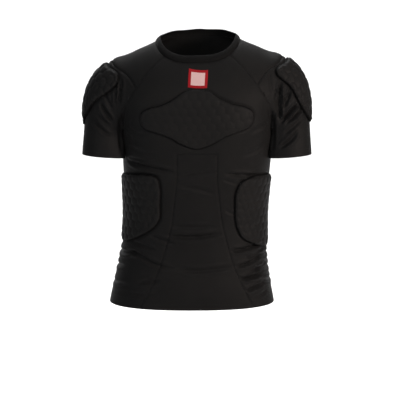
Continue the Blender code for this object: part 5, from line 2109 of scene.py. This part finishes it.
@dataclass
class Collar:
    """The ribbed band of doubled cloth round the neck opening."""

    finish: bpy.types.Material
    width: float = 16.0
    cloth: float = 2.2
    lean: float = 24.0
    side_lean: float = 14.0
    bulge: float = 1.0
    rows: int = 9
    sunk: float = 0.3
    step_out: float = 0.5
    step_share: float = 0.35
    fold: tuple[float, float, int] = (30, 150, 5)
    fold_height: float = 0.8

    def bulge_at(self, share: float) -> float:
        """How far the band's outer face stands out at a share of its height."""
        out = self.step_out * ease(np.array(share), 0, self.step_share)
        return self.bulge * math.sin(math.pi * share) + out

    def build(self) -> bpy.types.Object:
        """Make the band.

        Returns:
            The object.
        """
        ring = PATTERN.neck_ring()
        normals = FIGURE.normals(ring)
        tangent = unit(np.roll(ring, -1, axis=0) - np.roll(ring, 1, axis=0))
        inward = unit(np.column_stack([-ring[:, 0], FIGURE.neck_y - ring[:, 1], 0 * ring[:, 2]]))
        lean = np.radians(self.lean + self.side_lean * inward[:, 0] ** 2)[:, None]
        rise = np.cos(lean) * np.array([0, 0, 1.0]) + np.sin(lean) * inward
        facing = unit(np.cross(tangent, rise))
        foot = ring - normals * self.sunk
        layers = []
        for share in np.linspace(0, 1, self.rows):
            layers.append(foot + rise * self.width * share + facing * self.bulge_at(share))
        radius = self.cloth / 2
        middle = layers[-1] - facing * radius
        for turn in np.radians(np.linspace(*self.fold)):
            up = rise * radius * math.sin(turn) * self.fold_height
            layers.append(middle + facing * radius * math.cos(turn) + up)
        for share in np.linspace(1, 0, self.rows):
            layers.append(foot + rise * self.width * share + facing * (self.bulge_at(share) - self.cloth))
        count = len(ring)
        here = np.arange(count)
        after = (here + 1) % count
        faces = []
        for k in range(len(layers)):
            low, high = k * count, (k + 1) % len(layers) * count
            faces.append(np.column_stack([here + low, after + low, after + high, here + high]))
        run = run_lengths(ring)
        up = np.arange(len(layers)) * self.width / self.rows
        flat = np.column_stack([np.tile(run, len(layers)), np.repeat(up, count)])
        obj = dress("collar_band", np.vstack(layers), np.vstack(faces), [self.finish], flat, sharp=80)
        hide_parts("collar")
        return obj


@dataclass
class Label:
    """The small square label under the collar, with a plain paler square in its middle."""

    chart: BodyChart
    red: bpy.types.Material
    pale: bpy.types.Material
    height: float = 0.8
    cells: int = 28
    inner: tuple[float, float] = (0.14, 0.86)
    lift: float = 0.15
    size: float = 40.0
    edge_height: float = 0.45
    edge_width: float = 1.5
    frame_depth: float = 0.25
    frame_at: float = 2.6
    frame_width: float = 0.8

    def build(self) -> bpy.types.Object:
        """Make the label.

        Returns:
            The object.
        """
        corners = self.chart.lay(FIGURE.seen_at(*np.transpose(LABEL_CORNERS), Facing.FRONT))
        share = np.linspace(0, 1, self.cells + 1)
        u, v = (grid.ravel()[:, None] for grid in np.meshgrid(share, share))
        top, foot = corners[0] * (1 - u) + corners[1] * u, corners[3] * (1 - u) + corners[2] * u
        flat = top * (1 - v) + foot * v
        base = self.chart.raise_up(flat)
        normals = FIGURE.normals(base)
        edge = np.minimum(np.minimum(u, 1 - u), np.minimum(v, 1 - v))[:, 0] * self.size
        rise = self.height * (self.edge_height + (1 - self.edge_height) * ease(edge, 0, self.edge_width))
        height = rise - self.frame_depth * np.exp(-(((edge - self.frame_at) / self.frame_width) ** 2))
        lie = DRAPE.creases(base) + DRAPE.waves(base) + self.lift
        upper, lower = base + normals * (lie + height)[:, None], base + normals * lie[:, None]
        side = self.cells + 1
        index = np.arange(side * side).reshape(side, side)
        parts = (index[:-1, :-1], index[1:, :-1], index[1:, 1:], index[:-1, 1:])
        quads = np.column_stack([part.ravel() for part in parts])
        first = normals[quads[0, 0]]
        across = np.cross(base[quads[0, 1]] - base[quads[0, 0]], base[quads[0, 2]] - base[quads[0, 0]])
        if across @ first < 0:
            quads = quads[:, ::-1]
        triangles = np.vstack([quads[:, [0, 1, 2]], quads[:, [0, 2, 3]]])
        points, faces = shell(upper, lower, triangles)
        low, high = self.inner
        middle = np.column_stack([u[:, 0], v[:, 0]])[triangles].mean(axis=1)
        pale = np.all((middle > low) & (middle < high), axis=1)
        slots = np.zeros(len(faces))
        slots[: len(triangles)] = pale
        obj = dress(
            "chest_label_woven", points, faces, [self.red, self.pale], np.vstack([flat, flat]),
            face_slots=slots
        )
        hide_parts("chest_label")
        return obj


class Lamp(NamedTuple):
    """A soft square light: where it hangs, its side, its power in watts, its colour and its aim."""

    name: str
    place: tuple[float, float, float]
    size: float
    power: float
    colour: tuple[float, float, float]
    aim: tuple[float, float, float] = (0.0, 0.0, -0.3)


LAMPS = table(
    Lamp, ("key right", (2.1, -1.6, 0.35), 0.5, 38.0, (1.0, 0.85, 0.77)),
    ("fill left", (-2.0, -2.2, 0.2), 0.8, 7.0, (0.86, 0.93, 1.0)),
    ("top", (0.1, -2.2, 1.2), 0.6, 12.0, (1.0, 0.98, 0.96)),
    ("rear", (-1.4, 2.4, 1.0), 1.4, 5.0, (1.0, 1.0, 1.0)),
    ("back wash", (0.0, 3.0, 1.6), 2.5, 175.0, (1.0, 1.0, 1.0), (0.0, 6.0, -1.0)),
    ("floor wash", (0.0, 1.4, 2.4), 2.0, 100.0, (1.0, 1.0, 1.0), (0.0, 3.4, -1.4))
)


@dataclass
class Studio:
    """Camera, floor, backdrop and soft lights."""

    eye: tuple[float, float, float] = (0.007, -2.97, 0.075)
    aim: tuple[float, float, float] = (0.00675, 0.0, -0.355)
    lens: float = 120.0
    sensor: float = 36.0
    floor_z: float = -1.45
    floor_y: float = -6.0
    floor_half: float = 9.0
    floor_step: float = 2.6
    wall_step: float = 1.5
    floor_tone: float = 0.9
    sky: tuple[float, float, float] = (0.95, 0.97, 1.0)
    sky_strength: float = 0.14

    def camera(self) -> None:
        """Stand the camera where the photograph was taken from."""
        data = bpy.data.cameras.new("camera")
        data.lens, data.sensor_width = self.lens, self.sensor
        obj = bpy.data.objects.new("camera", data)
        obj.location = self.eye
        obj.rotation_euler = (Vector(self.aim) - Vector(self.eye)).to_track_quat("-Z", "Y").to_euler()
        bpy.context.scene.collection.objects.link(obj)
        bpy.context.scene.camera = obj

    @staticmethod
    def light(lamp: Lamp) -> None:
        """Hang a soft light.

        Args:
            lamp: the light's values.
        """
        data = bpy.data.lights.new(lamp.name, "AREA")
        data.shape, data.size, data.energy, data.color = "SQUARE", lamp.size, lamp.power, lamp.colour
        obj = bpy.data.objects.new(lamp.name, data)
        obj.location = lamp.place
        obj.rotation_euler = (Vector(lamp.aim) - Vector(lamp.place)).to_track_quat("-Z", "Y").to_euler()
        bpy.context.scene.collection.objects.link(obj)

    def floor(self) -> None:
        """Lay a plain pale floor that curves up far behind."""
        flat_rows, bent_rows, wall_rows, radius = 4, 16, 5, 3.0
        rows = []
        for k in range(flat_rows + bent_rows + wall_rows):
            turn = math.radians(90 * min(max((k - flat_rows) / bent_rows, 0), 1))
            y = self.floor_y + self.floor_step * min(k, flat_rows) + radius * math.sin(turn)
            z = radius * (1 - math.cos(turn)) + max(k - flat_rows - bent_rows, 0) * self.wall_step
            rows.append((y, self.floor_z + z))
        points = [(x, y, z) for y, z in rows for x in (-self.floor_half, self.floor_half)]
        faces = [(2 * k, 2 * k + 1, 2 * k + 3, 2 * k + 2) for k in range(len(rows) - 1)]
        mesh = bpy.data.meshes.new("floor")
        mesh.from_pydata(points, [], faces)
        mesh.shade_smooth()
        pale = bpy.data.materials.new("pale floor")
        pale.use_nodes = True
        shader = pale.node_tree.nodes["Principled BSDF"]
        shader.inputs["Base Color"].default_value = (*[self.floor_tone] * 3, 1)
        shader.inputs["Roughness"].default_value = 0.9
        mesh.materials.append(pale)
        obj = bpy.data.objects.new("floor", mesh)
        bpy.context.scene.collection.objects.link(obj)

    def build(self) -> None:
        """Set up the whole studio."""
        self.camera()
        self.floor()
        world = bpy.data.worlds.new("studio")
        world.use_nodes = True
        background = world.node_tree.nodes["Background"]
        background.inputs["Color"].default_value = (*self.sky, 1)
        background.inputs["Strength"].default_value = self.sky_strength
        bpy.context.scene.world = world
        bpy.context.scene.view_settings.view_transform = "Standard"
        for lamp in LAMPS:
            self.light(lamp)


def main() -> None:
    """Build the studio and the shirt in order, and report each piece."""
    logging.basicConfig(level=logging.INFO, format="%(name)s: %(message)s")
    finishes = Finishes()
    Studio().build()
    shirt = Shirt(finishes)
    shirt.cloth()
    pads = shirt.pads()
    Sewing(finishes.thread, shirt.front).build(pads)
    Collar(finishes.rib).build()
    Label(shirt.front, finishes.red, finishes.pale).build()


if __name__ == "__main__":
    main()
